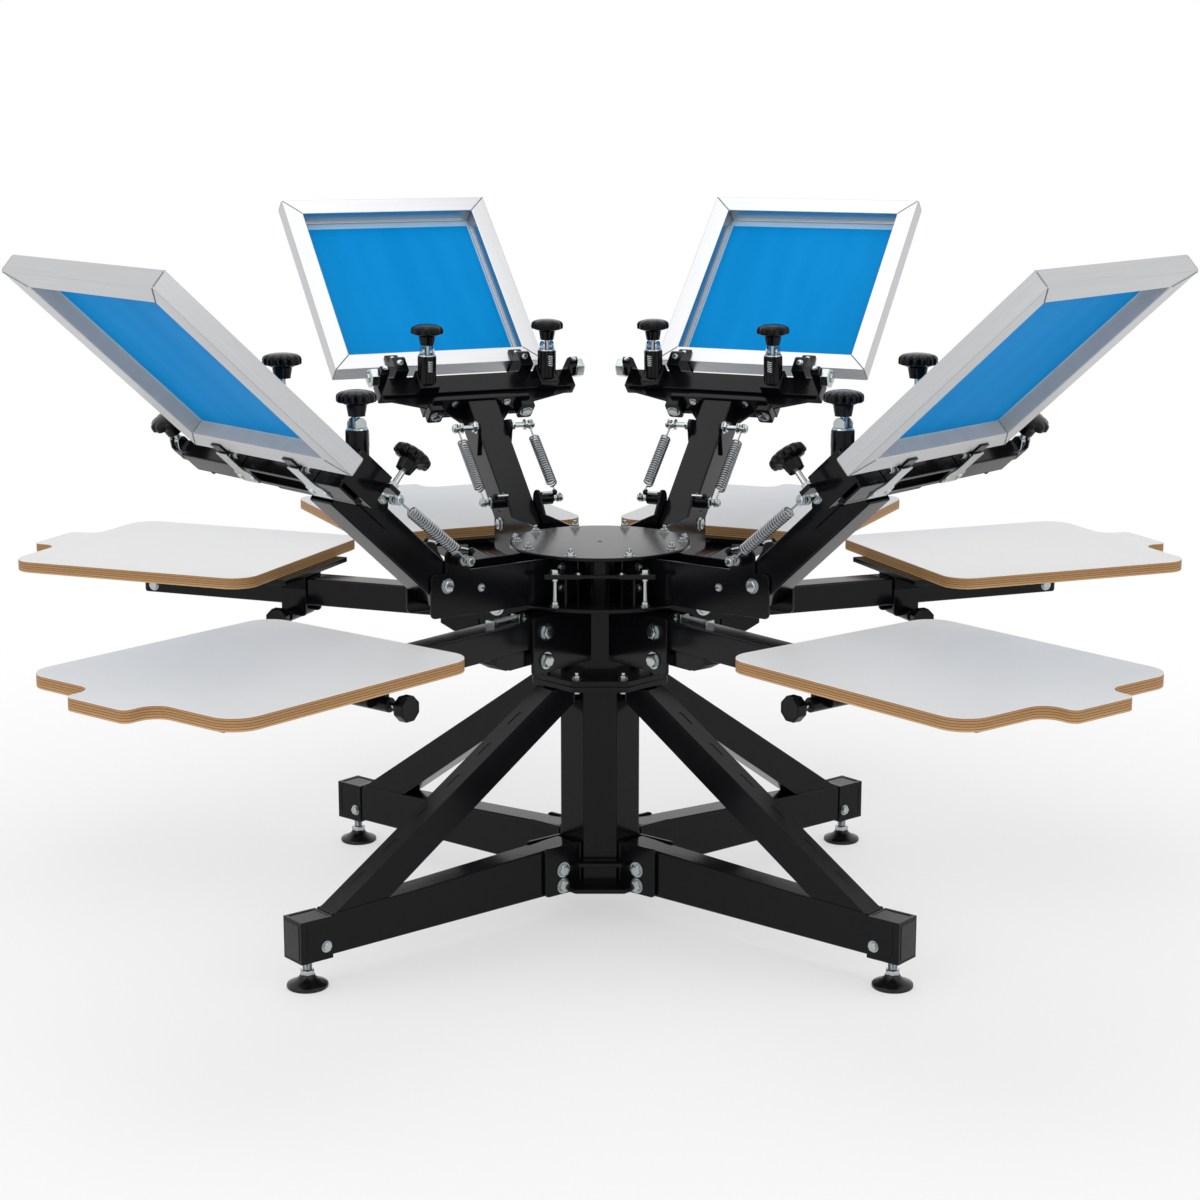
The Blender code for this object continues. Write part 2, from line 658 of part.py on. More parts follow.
def build_platen_hub():
    """Build the turning hub: barrel, flange and six pairs of arm plates round its bore."""
    parts = [
        octagon(COLUMN_FLATS, HUB_BOTTOM_Z + WELD, HUB_TOP_Z),
        octagon(FLANGE_FLATS, HUB_BOTTOM_Z, HUB_BOTTOM_Z + FLANGE_THICKNESS),
    ]
    parts += octagon_bolts(FLANGE_BOLT_CIRCLE_RADIUS, HUB_BOTTOM_Z + FLANGE_THICKNESS - WELD,
                           HUB_BOTTOM_Z + FLANGE_THICKNESS + FLANGE_BOLT_HEAD, FLANGE_BOLT_AF,
                           FLANGE_BOLT_COUNT)
    cuts = [spindle_bore(HUB_BOTTOM_Z, HUB_TOP_Z)]
    for azimuth_deg in PLATEN_AZIMUTHS_DEG:
        parts += hub_bracket(azimuth_deg)
    body = fuse(parts, cuts)
    place = station("platen_wheel_axis", 0)
    place.rotation_euler = (0, 0, 0)
    hang(name_piece(body, "platen_hub", BLACK, 30), place)


def spindle_bore(low, high):
    """Return the cutter for a bore that turns on the spindle."""
    return rod((0, 0, low - OVERRUN), (0, 0, high + OVERRUN), SPINDLE_RADIUS + RUNNING_GAP, sides=BORE_SIDES)


def build_arm_mesh():
    """Build one platen arm: square tube with a stop under its root and a bolt at its end."""
    half = ARM_SIZE / 2
    tube = box((ARM_INNER_RADIUS, ARM_OUTER_RADIUS), (-half, half), (ARM_BOTTOM_Z, ARM_TOP_Z))
    stop_end = ARM_STOP_START + ARM_STOP_LENGTH
    stop = side_plate([(ARM_STOP_START, ARM_BOTTOM_Z - ARM_STOP_DEPTH),
                       (stop_end - ARM_STOP_DEPTH, ARM_BOTTOM_Z - ARM_STOP_DEPTH),
                       (stop_end, ARM_BOTTOM_Z - ARM_STOP_DEPTH / 2),
                       (stop_end, ARM_BOTTOM_Z + WELD), (ARM_STOP_START, ARM_BOTTOM_Z + WELD)],
                      -ARM_STOP_WIDTH / 2, ARM_STOP_WIDTH / 2)
    bolts = []
    x, z = ARM_OUTER_RADIUS - ARM_END_BOLT_INSET, ARM_BOTTOM_Z + ARM_END_BOLT_AF
    for side in (-1, 1):
        bolts.append(hexagon((x, side * (half - WELD), z), (x, side * (half + ARM_END_BOLT_HEAD), z),
                             ARM_END_BOLT_AF))
    return fuse([tube, stop] + bolts)


def build_carriage(side):
    """Build one platen carriage, whose lock boss is on the given side of the arm."""
    web_low = ARM_TOP_Z + RUNNING_GAP
    web_high = web_low + CARRIAGE_WALL
    near = ARM_SIZE / 2 + RUNNING_GAP
    far = near + CARRIAGE_WALL
    outer = CARRIAGE_INNER + CARRIAGE_LENGTH
    parts = [box((CARRIAGE_INNER, outer), (-far, far), (web_low, web_high))]
    for edge in (-1, 1):
        parts.append(box((CARRIAGE_INNER, outer), sorted((edge * near, edge * far)),
                         (web_low - CARRIAGE_SKIRT, web_high)))
        parts.append(box((CARRIAGE_INNER, CARRIAGE_INNER + CARRIAGE_LUG_LENGTH),
                         sorted((edge * near, edge * far)),
                         (web_high - CARRIAGE_LUG_DROP, web_high)))
    bar_half = CARRIAGE_BAR_LENGTH / 2
    for bar_start in (PLATEN_INNER_RADIUS - CARRIAGE_BAR_OVERHANG, outer - CARRIAGE_BAR_WIDTH):
        parts.append(box((bar_start, bar_start + CARRIAGE_BAR_WIDTH), (-bar_half, bar_half),
                         (web_high - WELD, PLATEN_BOTTOM_Z - SEAT_GAP)))
    x = CARRIAGE_INNER + CARRIAGE_LUG_LENGTH / 2
    parts.append(rod((x, -side * far, CARRIAGE_BOSS_Z), (x, side * CARRIAGE_BOSS_REACH, CARRIAGE_BOSS_Z),
                     CARRIAGE_BOSS_RADIUS))
    return fuse(parts)


def build_lock_knob_mesh():
    """Build the eight-sided lock knob on its stud, along +Y from the boss."""
    stud_end = SEAT_GAP + LOCK_STUD_LENGTH
    stud = rod((0, SEAT_GAP, 0), (0, stud_end + WELD, 0), LOCK_STUD_RADIUS, sides=8)
    corner = LOCK_KNOB_FLATS / 2 / math.cos(math.pi / 8)
    rim = LOCK_KNOB_LENGTH * LOCK_KNOB_RIM_SHARE
    neck = rod((0, stud_end, 0), (0, stud_end + rim + WELD, 0), corner - rim, sides=8, end_radius=corner,
               turn=math.pi / 8)
    grip = rod((0, stud_end + rim, 0), (0, stud_end + LOCK_KNOB_LENGTH, 0), corner, sides=8, turn=math.pi / 8)
    return fuse([neck, grip, stud])


def build_platen_stations():
    """Place six arms, carriages, lock knobs and platens."""
    arm = build_arm_mesh()
    board = plate(platen_outline(), PLATEN_BOTTOM_Z, PLATEN_TOP_Z)
    knob = build_lock_knob_mesh()
    carriages = {1: build_carriage(1), -1: build_carriage(-1)}
    knob_x = CARRIAGE_INNER + CARRIAGE_LUG_LENGTH / 2
    used = set()
    for name, azimuth_deg in zip(STATION_NAMES, PLATEN_AZIMUTHS_DEG):
        side = 1 if azimuth_deg > 0 else -1
        place = station("platen_slide_" + name, azimuth_deg)
        first = name == STATION_NAMES[0]
        carriage = copy_of(carriages[side], "carriage") if side in used else carriages[side]
        used.add(side)
        hang(name_piece(arm if first else copy_of(arm, "arm"), "platen_arm_" + name, BLACK), place)
        hang(name_piece(board if first else copy_of(board, "board"), "platen_" + name, LAMINATE), place)
        hang(name_piece(carriage, "platen_carriage_" + name, BLACK), place)
        knob_turn = 0.0 if side > 0 else math.pi
        hang(name_piece(knob if first else copy_of(knob, "knob"), "platen_lock_knob_" + name, PLASTIC), place,
             (knob_x, side * CARRIAGE_BOSS_REACH, CARRIAGE_BOSS_Z), knob_turn)


# Upper wheel


def build_head_hub():
    """Build the lower head plate with its barrel and front stop, and the top plate."""
    barrel_low = HUB_TOP_Z + SEAT_GAP
    barrel_high = HEAD_TOP_PLATE_BOTTOM_Z - SEAT_GAP
    parts = [
        rod((0, 0, HEAD_LOWER_PLATE_BOTTOM_Z), (0, 0, HEAD_LOWER_PLATE_TOP_Z), HEAD_LOWER_PLATE_RADIUS,
            sides=DISC_SIDES),
        rod((0, 0, barrel_low), (0, 0, barrel_high), HEAD_BARREL_RADIUS, sides=BORE_SIDES),
        box((-STOP_BAR_LENGTH / 2, STOP_BAR_LENGTH / 2),
            (-STOP_BAR_PLACE - STOP_BAR_WIDTH / 2, -STOP_BAR_PLACE + STOP_BAR_WIDTH / 2),
            (STOP_BAR_Z, STOP_BAR_Z + STOP_BAR_THICKNESS)),
    ]
    for side in (-1, 1):
        x = side * STOP_POST_SPREAD / 2
        parts.append(rod((x, -STOP_BAR_PLACE, HEAD_LOWER_PLATE_TOP_Z - WELD),
                         (x, -STOP_BAR_PLACE, STOP_BAR_Z + STOP_BAR_THICKNESS + HEAD_RIM_BOLT_HEAD),
                         STOP_POST_RADIUS, sides=8))
        web = sorted((side * STOP_WEB_SPREAD / 2, side * (STOP_WEB_SPREAD / 2 + STOP_WEB_THICKNESS)))
        parts.append(box(web, (-STOP_BAR_PLACE - STOP_BAR_WIDTH * STOP_WEB_SHARE,
                              -STOP_BAR_PLACE + STOP_BAR_WIDTH * STOP_WEB_SHARE),
                         (HEAD_LOWER_PLATE_TOP_Z - WELD, STOP_BAR_Z + WELD)))
    lower = fuse(parts, [spindle_bore(barrel_low, barrel_high)])
    heads = [rod((0, 0, HEAD_TOP_PLATE_BOTTOM_Z), (0, 0, HEAD_TOP_PLATE_TOP_Z), HEAD_TOP_PLATE_RADIUS,
                 sides=DISC_SIDES)]
    reach = HEAD_TOP_PLATE_RADIUS - HEAD_RIM_BOLT_INSET
    for azimuth_deg in HEAD_RIM_BOLT_AZIMUTHS_DEG:
        head = hexagon((reach, 0, HEAD_TOP_PLATE_TOP_Z - WELD),
                       (reach, 0, HEAD_TOP_PLATE_TOP_Z + HEAD_RIM_BOLT_HEAD),
                       HEAD_RIM_BOLT_AF)
        heads.append(turned_to(head, azimuth_deg))
    hole = rod((0, 0, HEAD_TOP_PLATE_BOTTOM_Z - OVERRUN), (0, 0, HEAD_TOP_PLATE_TOP_Z + OVERRUN),
               HEAD_CENTRE_HOLE_RADIUS, sides=8)
    top = fuse(heads, [hole])
    place = station("head_wheel_axis", 0)
    place.rotation_euler = (0, 0, 0)
    hang(name_piece(lower, "head_lower_plate", BLACK, 30), place)
    hang(name_piece(top, "head_top_plate", BLACK, 30), place)


def yoke_outline():
    """Return the side view of a yoke's side plate."""
    low = HEAD_LOWER_PLATE_TOP_Z + SEAT_GAP
    high = HEAD_TOP_PLATE_BOTTOM_Z - SEAT_GAP
    nose = PIVOT_RADIUS_PLACE + YOKE_NOSE
    ear = PIVOT_RADIUS_PLACE - YOKE_EAR_BACK
    ear_top = PIVOT_Z + YOKE_EAR_RISE + YOKE_EAR_HALF
    chamfer = YOKE_NOSE * YOKE_CHAMFER_SHARE
    return [(YOKE_INNER, low), (HEAD_LOWER_PLATE_RADIUS, low), (nose - chamfer, YOKE_NOSE_BOTTOM_Z),
            (nose, YOKE_NOSE_BOTTOM_Z + chamfer), (nose, YOKE_NOSE_TOP_Z - chamfer),
            (nose - chamfer, YOKE_NOSE_TOP_Z), (ear + YOKE_EAR_HALF, YOKE_NOSE_TOP_Z),
            (ear + YOKE_EAR_HALF, ear_top - chamfer), (ear + YOKE_EAR_HALF - chamfer, ear_top),
            (ear - YOKE_EAR_HALF + chamfer, ear_top), (ear - YOKE_EAR_HALF, ear_top - chamfer),
            (ear - 2 * YOKE_EAR_HALF, YOKE_NOSE_TOP_Z), (HEAD_TOP_PLATE_RADIUS, high), (YOKE_INNER, high)]


def build_yoke_mesh():
    """Build one head yoke: two side plates, a web, the pivot pin and the lower spring posts."""
    near = HEAD_ARM_SIZE / 2 + SEAT_GAP
    far = near + YOKE_WALL
    low = HEAD_LOWER_PLATE_TOP_Z + SEAT_GAP
    ear_x, ear_z = PIVOT_RADIUS_PLACE - YOKE_EAR_BACK, PIVOT_Z + YOKE_EAR_RISE
    parts = []
    for side in (-1, 1):
        parts.append(side_plate(yoke_outline(), *sorted((side * near, side * far))))
        parts.append(rod((ear_x, side * (far - WELD), ear_z), (ear_x, side * YOKE_POST_REACH, ear_z),
                         YOKE_POST_RADIUS, sides=12))
        parts.append(rod((ear_x, side * (YOKE_POST_REACH - WELD), ear_z),
                         (ear_x, side * SPRING_PIN_REACH, ear_z),
                         SPRING_PIN_RADIUS, sides=8))
        parts.append(hexagon((PIVOT_RADIUS_PLACE, side * (far - WELD), PIVOT_Z),
                             (PIVOT_RADIUS_PLACE, side * (far + YOKE_PIN_HEAD), PIVOT_Z), YOKE_PIN_HEAD_AF))
    parts.append(box((YOKE_INNER, YOKE_WEB_REACH), (-near - WELD, near + WELD), (low, low + YOKE_WALL)))
    parts.append(rod((PIVOT_RADIUS_PLACE, -far, PIVOT_Z), (PIVOT_RADIUS_PLACE, far, PIVOT_Z),
                     PIVOT_PIN_RADIUS))
    return fuse(parts)


# Print heads, drawn level in the frame of the lift pivot


def build_head_arm_mesh():
    """Build one head arm: box tube, bored heel, spring ears and the end plate."""
    half = HEAD_ARM_SIZE / 2
    plate_end = HEAD_ARM_LENGTH + HEAD_END_PLATE_THICKNESS
    ear_high = HEAD_EAR_ABOVE + SPRING_PIN_RADIUS * 2
    parts = [
        box((-HEAD_ARM_HEEL, HEAD_ARM_LENGTH + WELD), (-half, half), (-half, half)),
        box((HEAD_ARM_LENGTH, plate_end), (-HEAD_END_PLATE_WIDTH / 2, HEAD_END_PLATE_WIDTH / 2),
            (-HEAD_END_PLATE_LOW, HEAD_END_PLATE_HIGH)),
        rod((HEAD_EAR_ALONG, -SPRING_PIN_REACH, HEAD_EAR_ABOVE),
            (HEAD_EAR_ALONG, SPRING_PIN_REACH, HEAD_EAR_ABOVE),
            SPRING_PIN_RADIUS, sides=8),
    ]
    for side in (-1, 1):
        walls = sorted((side * (half - WELD), side * (half + HEAD_EAR_WALL)))
        parts.append(side_plate([(HEAD_EAR_ALONG - 2 * HEAD_EAR_HALF, 0),
                                 (HEAD_EAR_ALONG + 2 * HEAD_EAR_HALF, 0),
                                 (HEAD_EAR_ALONG + HEAD_EAR_HALF / 2, ear_high),
                                 (HEAD_EAR_ALONG - HEAD_EAR_HALF / 2, ear_high)], *walls))
    bore = PIVOT_PIN_RADIUS / math.cos(math.pi / ROUND_SIDES) + RUNNING_GAP
    cut = rod((0, -half - OVERRUN, 0), (0, half + OVERRUN, 0), bore)
    return fuse(parts, [cut])


def lift_rest_deg(side):
    """Return how far a head stands above level when it is raised."""
    return BACK_LIFT_REST_DEG if side.startswith("back") else FRONT_LIFT_REST_DEG


def spring_ends(rest_deg):
    """Return the lower and upper spring pins in the raised head's plane, from the pivot."""
    lift = math.radians(rest_deg)
    lower = Vector((-YOKE_EAR_BACK, YOKE_EAR_RISE))
    upper = Vector((HEAD_EAR_ALONG * math.cos(lift) - HEAD_EAR_ABOVE * math.sin(lift),
                    HEAD_EAR_ALONG * math.sin(lift) + HEAD_EAR_ABOVE * math.cos(lift)))
    return lower, upper


def spring_points(rest_deg):
    """Return the path of a spring's wire from pin to pin, along +Z from the origin."""
    lower, upper = spring_ends(rest_deg)
    reach = (upper - lower).length
    start = SPRING_PIN_RADIUS + SEAT_GAP
    end = reach - start
    body = (end - start) * SPRING_BODY_SHARE
    body_low = (start + end - body) / 2
    points = [(0, 0, start), (0, 0, start + 2 * SPRING_WIRE_RADIUS)]
    total = SPRING_CURLS * SPRING_POINTS_PER_CURL
    for step in range(total + 1):
        angle = 2 * math.pi * step / SPRING_POINTS_PER_CURL
        z = body_low + body * step / total
        points.append((SPRING_COIL_RADIUS * math.cos(angle), SPRING_COIL_RADIUS * math.sin(angle), z))
    points += [(0, 0, end - 2 * SPRING_WIRE_RADIUS), (0, 0, end)]
    pitch = body / SPRING_CURLS
    print("least gap between curls, mm:", round((pitch - 2 * SPRING_WIRE_RADIUS) * 1000, 2))
    return points


def build_spring_mesh(rest_deg):
    """Build one tension spring as an unbroken tube along +Z."""
    curve = bpy.data.curves.new("spring", "CURVE")
    curve.dimensions = "3D"
    curve.bevel_depth = SPRING_WIRE_RADIUS
    curve.bevel_resolution = 1
    curve.use_fill_caps = True
    points = spring_points(rest_deg)
    spline = curve.splines.new("POLY")
    spline.points.add(len(points) - 1)
    for point, place in zip(spline.points, points):
        point.co = (*place, 1)
    guide = bpy.data.objects.new("spring", curve)
    PRESS.objects.link(guide)
    return settle(guide)


def strap_parts(across_middle):
    """Return one strap with the two lips that hold the screen's near rail."""
    across = (across_middle - JAW_WIDTH / 2, across_middle + JAW_WIDTH / 2)
    lips = (across[0] + WELD / 2, across[1] - WELD / 2)
    lip_end = SCREEN_START + JAW_LIP_REACH
    low_lip_top = -SCREEN_BELOW_PIVOT - SEAT_GAP
    high_lip_low = -SCREEN_BELOW_PIVOT + SCREEN_TUBE_HEIGHT + SEAT_GAP
    return [
        box((CLAMP_END - CLAMP_WALL / 2, SCREEN_START - SEAT_GAP), across,
            (low_lip_top - JAW_LIP_THICKNESS, CLAMP_TOP + JAW_BASE_RISE)),
        box((SCREEN_START - 2 * WELD, lip_end), lips, (high_lip_low, high_lip_low + JAW_TOP_LIP)),
        box((SCREEN_START - 2 * WELD, lip_end), lips,
            (low_lip_top - JAW_LIP_THICKNESS + WELD / 2, low_lip_top)),
    ]


def post_parts(across_middle, stud_extra):
    """Return one post on its block, with its cap and its star knob."""
    across = (across_middle - POST_BLOCK_WIDTH / 2, across_middle + POST_BLOCK_WIDTH / 2)
    tilt = math.radians(POST_TILT_DEG)
    axis = Vector((math.sin(tilt), 0, math.cos(tilt)))
    foot = Vector((CLAMP_END - JAW_BASE_DEPTH / 2, across_middle, CLAMP_TOP + JAW_BASE_RISE / 2))
    post_end = foot + axis * POST_LENGTH
    parts = [
        box((CLAMP_END - JAW_BASE_DEPTH, CLAMP_END - WELD), across,
            (CLAMP_TOP - WELD, CLAMP_TOP + JAW_BASE_RISE)),
        rod(foot, post_end, POST_RADIUS, sides=12),
        rod(post_end - axis * WELD, post_end + axis * POST_CAP_THICKNESS, POST_CAP_RADIUS, sides=12),
    ]
    return parts + knob_parts(post_end, axis, stud_extra)


def side_knob_parts(end, out):
    """Return the star knob that leans outwards from a front clamp's far end."""
    tilt = math.radians(SIDE_POST_TILT_DEG)
    axis = Vector((0, out * math.sin(tilt), math.cos(tilt)))
    foot = Vector((CLAMP_START + CLAMP_DEPTH / 2, end - out * SIDE_POST_RADIUS, CLAMP_TOP))
    post_end = foot + axis * SIDE_POST_LENGTH
    return [rod(foot, post_end, SIDE_POST_RADIUS, sides=12)] + knob_parts(post_end, axis, 0)


def near_knob_parts(end, out):
    """Return the lug on a front clamp's near end with the star knob that stands on it."""
    across = sorted((end - out * CLAMP_WALL / 2, end + out * NEAR_LUG_REACH))
    deep = (CLAMP_START + 2 * WELD, CLAMP_START + NEAR_LUG_DEPTH)
    lug = box(deep, across, (CLAMP_TOP - NEAR_LUG_THICKNESS, CLAMP_TOP))
    seat = Vector((sum(deep) / 2, end + out * (NEAR_LUG_REACH - NEAR_LUG_DEPTH / 2), CLAMP_TOP - WELD))
    return [lug] + knob_parts(seat, Vector((0, 0, 1)), NEAR_STUD_EXTRA)


def end_parts(end, out, is_front):
    """Return what closes one end of a clamp bar: a square plate in front, an upright block behind."""
    if is_front:
        walls = sorted((end + out * WELD, end - out * CLAMP_WALL))
        top = CLAMP_TOP + END_PLATE_RISE
        return [box((CLAMP_START + WELD, CLAMP_END + WELD), walls, (-CLAMP_DROP - WELD, top))]
    walls = sorted((end + out * WELD, end - out * UPRIGHT_WIDTH))
    middle = CLAMP_END - UPRIGHT_DEPTH / 2
    screw_z = CLAMP_TOP + END_SCREW_AF / 2 + WELD
    return [
        box((CLAMP_END - UPRIGHT_DEPTH, CLAMP_END + WELD), walls,
            (CLAMP_TOP - CLAMP_WALL / 2, CLAMP_TOP + UPRIGHT_RISE)),
        hexagon((middle, end - out * WELD, screw_z), (middle, end + out * END_SCREW_LENGTH, screw_z),
                END_SCREW_AF),
    ]


def knob_parts(seat, axis, stud_extra):
    """Return a star knob on its stud, from a seat and along an axis."""
    stud_end = seat + axis * (KNOB_STUD_LENGTH + stud_extra)
    hub_end = stud_end + axis * KNOB_HUB_LENGTH
    parts = [
        rod(seat, stud_end + axis * WELD, KNOB_STUD_RADIUS, sides=8),
        rod(stud_end, hub_end + axis * WELD, KNOB_HUB_RADIUS * KNOB_HUB_FOOT_SHARE, sides=KNOB_HUB_SIDES,
            end_radius=KNOB_HUB_RADIUS),
    ]
    outline = []
    for step in range(2 * KNOB_LOBES):
        angle = math.pi * step / KNOB_LOBES
        reach = KNOB_RADIUS * (1 - KNOB_LOBE_SHARE * (step % 2))
        outline.append((reach * math.cos(angle), reach * math.sin(angle)))
    grip = plate(outline, 0, KNOB_THICKNESS)
    turn = Vector((0, 0, 1)).rotation_difference(axis).to_matrix().to_4x4()
    grip.data.transform(Matrix.Translation(hub_end) @ turn)
    return parts + [grip]


def build_clamp_mesh(is_front, hand):
    """Build one screen clamp: channel bar, straps, posts with star knobs, and its end pieces.

    The left-hand clamp is drawn as in the photo, and the right-hand one is its mirror image.
    """
    ends = [hand * end for end in (FRONT_CLAMP_ENDS if is_front else BACK_CLAMP_ENDS)]
    straps = [hand * place for place in (FRONT_STRAPS_ACROSS if is_front else BACK_STRAPS_ACROSS)]
    posts = [hand * place for place in (FRONT_POSTS_ACROSS if is_front else BACK_POSTS_ACROSS)]
    low_end, high_end = sorted(ends)
    walls = (low_end + WELD / 2, high_end - WELD / 2)
    wall_top = CLAMP_TOP - WELD
    lip_low = CLAMP_TOP - CLAMP_LIP
    shoulder_wall = [(walls[0], lip_low), (-CLAMP_SHOULDER, -CLAMP_DROP), (CLAMP_SHOULDER, -CLAMP_DROP),
                     (walls[1], lip_low), (walls[1], wall_top), (walls[0], wall_top)]
    parts = [
        box((CLAMP_START, CLAMP_END), (low_end, high_end), (CLAMP_TOP - CLAMP_WALL, CLAMP_TOP)),
        front_plate(shoulder_wall, CLAMP_START + WELD / 2, CLAMP_START + CLAMP_WALL),
        box((CLAMP_END - CLAMP_WALL, CLAMP_END - WELD / 2), walls, (-CLAMP_DROP, wall_top)),
    ]
    for end in ends:
        parts += end_parts(end, math.copysign(1, end), is_front)
    for place in straps:
        parts += strap_parts(place)
    for index, place in enumerate(posts):
        parts += post_parts(place, FAR_FRONT_STUD_EXTRA if is_front and index == 0 else 0)
    if is_front:
        parts += side_knob_parts(ends[0], math.copysign(1, ends[0]))
        parts += near_knob_parts(ends[1], math.copysign(1, ends[1]))
    return fuse(parts)


def build_screen_mesh():
    """Build one screen: the tube frame and its stretched mesh as one glued body."""
    end = SCREEN_START + SCREEN_LENGTH
    low, high = -SCREEN_BELOW_PIVOT, -SCREEN_BELOW_PIVOT + SCREEN_TUBE_HEIGHT
    half = SCREEN_WIDTH / 2
    frame = box((SCREEN_START, end), (-half, half), (low, high))
    well = box((SCREEN_START + SCREEN_TUBE, end - SCREEN_TUBE), (-half + SCREEN_TUBE, half - SCREEN_TUBE),
               (low + SCREEN_MESH_THICKNESS, high + OVERRUN))
    return fuse([frame], [well])


def build_print_heads():
    """Place four yokes, arms, pairs of springs, clamps and screens."""
    yoke = build_yoke_mesh()
    arm = build_head_arm_mesh()
    screen = build_screen_mesh()
    springs = {}
    for index, (side, azimuth_deg) in enumerate(zip(SIDE_NAMES, HEAD_AZIMUTHS_DEG)):
        first = index == 0
        hand = 1 if azimuth_deg > 0 else -1
        rest_deg = lift_rest_deg(side)
        lower, upper = spring_ends(rest_deg)
        lean_deg = math.degrees(math.atan2(upper.x - lower.x, upper.y - lower.y))
        place = station("yoke_place_" + side, azimuth_deg)
        lift = station("lift_axis_" + side, azimuth_deg, PIVOT_RADIUS_PLACE, PIVOT_Z, rest_deg)
        hang(name_piece(yoke if first else copy_of(yoke, "yoke"), "head_yoke_" + side, BLACK), place)
        hang(name_piece(arm if first else copy_of(arm, "arm"), "head_arm_" + side, BLACK), lift)
        clamp = build_clamp_mesh(side.startswith("front"), hand)
        hang(name_piece(clamp, "screen_clamp_" + side, BLACK), lift)
        shift = hand * BACK_SCREEN_SHIFT if side.startswith("back") else 0.0
        hang(name_piece(screen if first else copy_of(screen, "screen"), "screen_" + side, ALUMINIUM), lift,
             (0, shift, 0))
        for flank, across in (("a", SPRING_ACROSS), ("b", -SPRING_ACROSS)):
            seat = station("spring_place_" + side + "_" + flank, azimuth_deg,
                           PIVOT_RADIUS_PLACE + lower.x, PIVOT_Z + lower.y, -lean_deg)
            seat.matrix_world = seat.matrix_world @ Matrix.Translation((0, across, 0))
            if rest_deg not in springs:
                springs[rest_deg] = body = build_spring_mesh(rest_deg)
            else:
                body = copy_of(springs[rest_deg], "spring")
            hang(name_piece(body, "lift_spring_" + side + "_" + flank, ZINC), seat)


def main():
    """Build the whole press."""
    build_column()
    build_legs()
    build_platen_hub()
    build_platen_stations()
    build_head_hub()
    build_print_heads()


main()
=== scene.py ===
"""Studio picture of a screen printing press: four raised print heads over six platens.

Run with: blender --background --python scene.py
Lengths are in metres, +Z is up and -Y is the front. A station is drawn along +X, with +Y across
it, and is then carried to its own azimuth, which is counted from the front towards the left side.
"""
from __future__ import annotations

import json
import logging
import math
from dataclasses import dataclass, field
from enum import Enum
from functools import lru_cache

import bmesh
import bpy
from mathutils import Matrix, Vector

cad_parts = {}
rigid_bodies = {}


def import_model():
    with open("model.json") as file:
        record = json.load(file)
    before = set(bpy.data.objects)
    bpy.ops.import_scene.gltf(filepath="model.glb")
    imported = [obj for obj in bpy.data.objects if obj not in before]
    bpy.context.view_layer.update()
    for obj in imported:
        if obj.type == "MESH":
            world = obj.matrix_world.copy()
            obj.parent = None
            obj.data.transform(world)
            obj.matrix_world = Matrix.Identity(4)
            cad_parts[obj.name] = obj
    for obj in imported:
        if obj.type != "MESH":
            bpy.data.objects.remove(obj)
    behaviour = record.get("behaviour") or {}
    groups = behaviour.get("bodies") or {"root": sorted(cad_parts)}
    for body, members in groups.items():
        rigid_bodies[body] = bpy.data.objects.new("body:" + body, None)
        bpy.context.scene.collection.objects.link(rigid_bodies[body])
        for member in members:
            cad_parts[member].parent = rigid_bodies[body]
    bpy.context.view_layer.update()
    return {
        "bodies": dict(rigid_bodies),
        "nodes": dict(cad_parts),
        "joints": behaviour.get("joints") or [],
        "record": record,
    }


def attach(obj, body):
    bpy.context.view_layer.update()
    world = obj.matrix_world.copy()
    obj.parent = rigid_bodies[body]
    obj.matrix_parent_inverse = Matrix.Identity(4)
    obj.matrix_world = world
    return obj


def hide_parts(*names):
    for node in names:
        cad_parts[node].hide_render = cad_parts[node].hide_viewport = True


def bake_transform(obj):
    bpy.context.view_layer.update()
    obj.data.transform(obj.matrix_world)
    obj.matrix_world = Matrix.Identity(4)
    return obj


LOG = logging.getLogger("press")

MM = 0.001
AXIS_Y = -0.0484
PLATEN_STATIONS = {"front_left": 38.9, "left": 111.2, "back_left": 155.9, "back_right": -155.9, "right": -111.2,
    "front_right": -38.9}
HEAD_STATIONS = {"front_left": 48.9, "back_left": 155.0, "back_right": -155.0, "front_right": -48.9}
LEG_STATIONS = {"front_left": 50.8, "back_left": 130.1, "back_right": -130.1, "front_right": -50.8}

COLUMN_FLATS = 0.137
FLANGE_FLATS = 0.233
FLANGE_WALL = 0.010
FLANGE_BOLT_REACH = 0.103
HEAD_PIVOT = (0.360, 0.640)
FRONT_LIFT_DEG = 42.0
BACK_LIFT_DEG = 44.5
BACK_SCREEN_SHIFT = 0.041
SPRING_ACROSS = 0.073
STUD_RADIUS = 0.005
UP = Vector((0, 0, 1))

Point = tuple[float, float]
Span = tuple[float, float]
Place = tuple[float, float, float]
Tree = bpy.types.NodeTree
Socket = bpy.types.NodeSocket


class Plane(Enum):
    """The plane in which an outline is drawn; the piece is as thick as its span across it."""

    TOP = "XY"
    SIDE = "XZ"
    FRONT = "YZ"


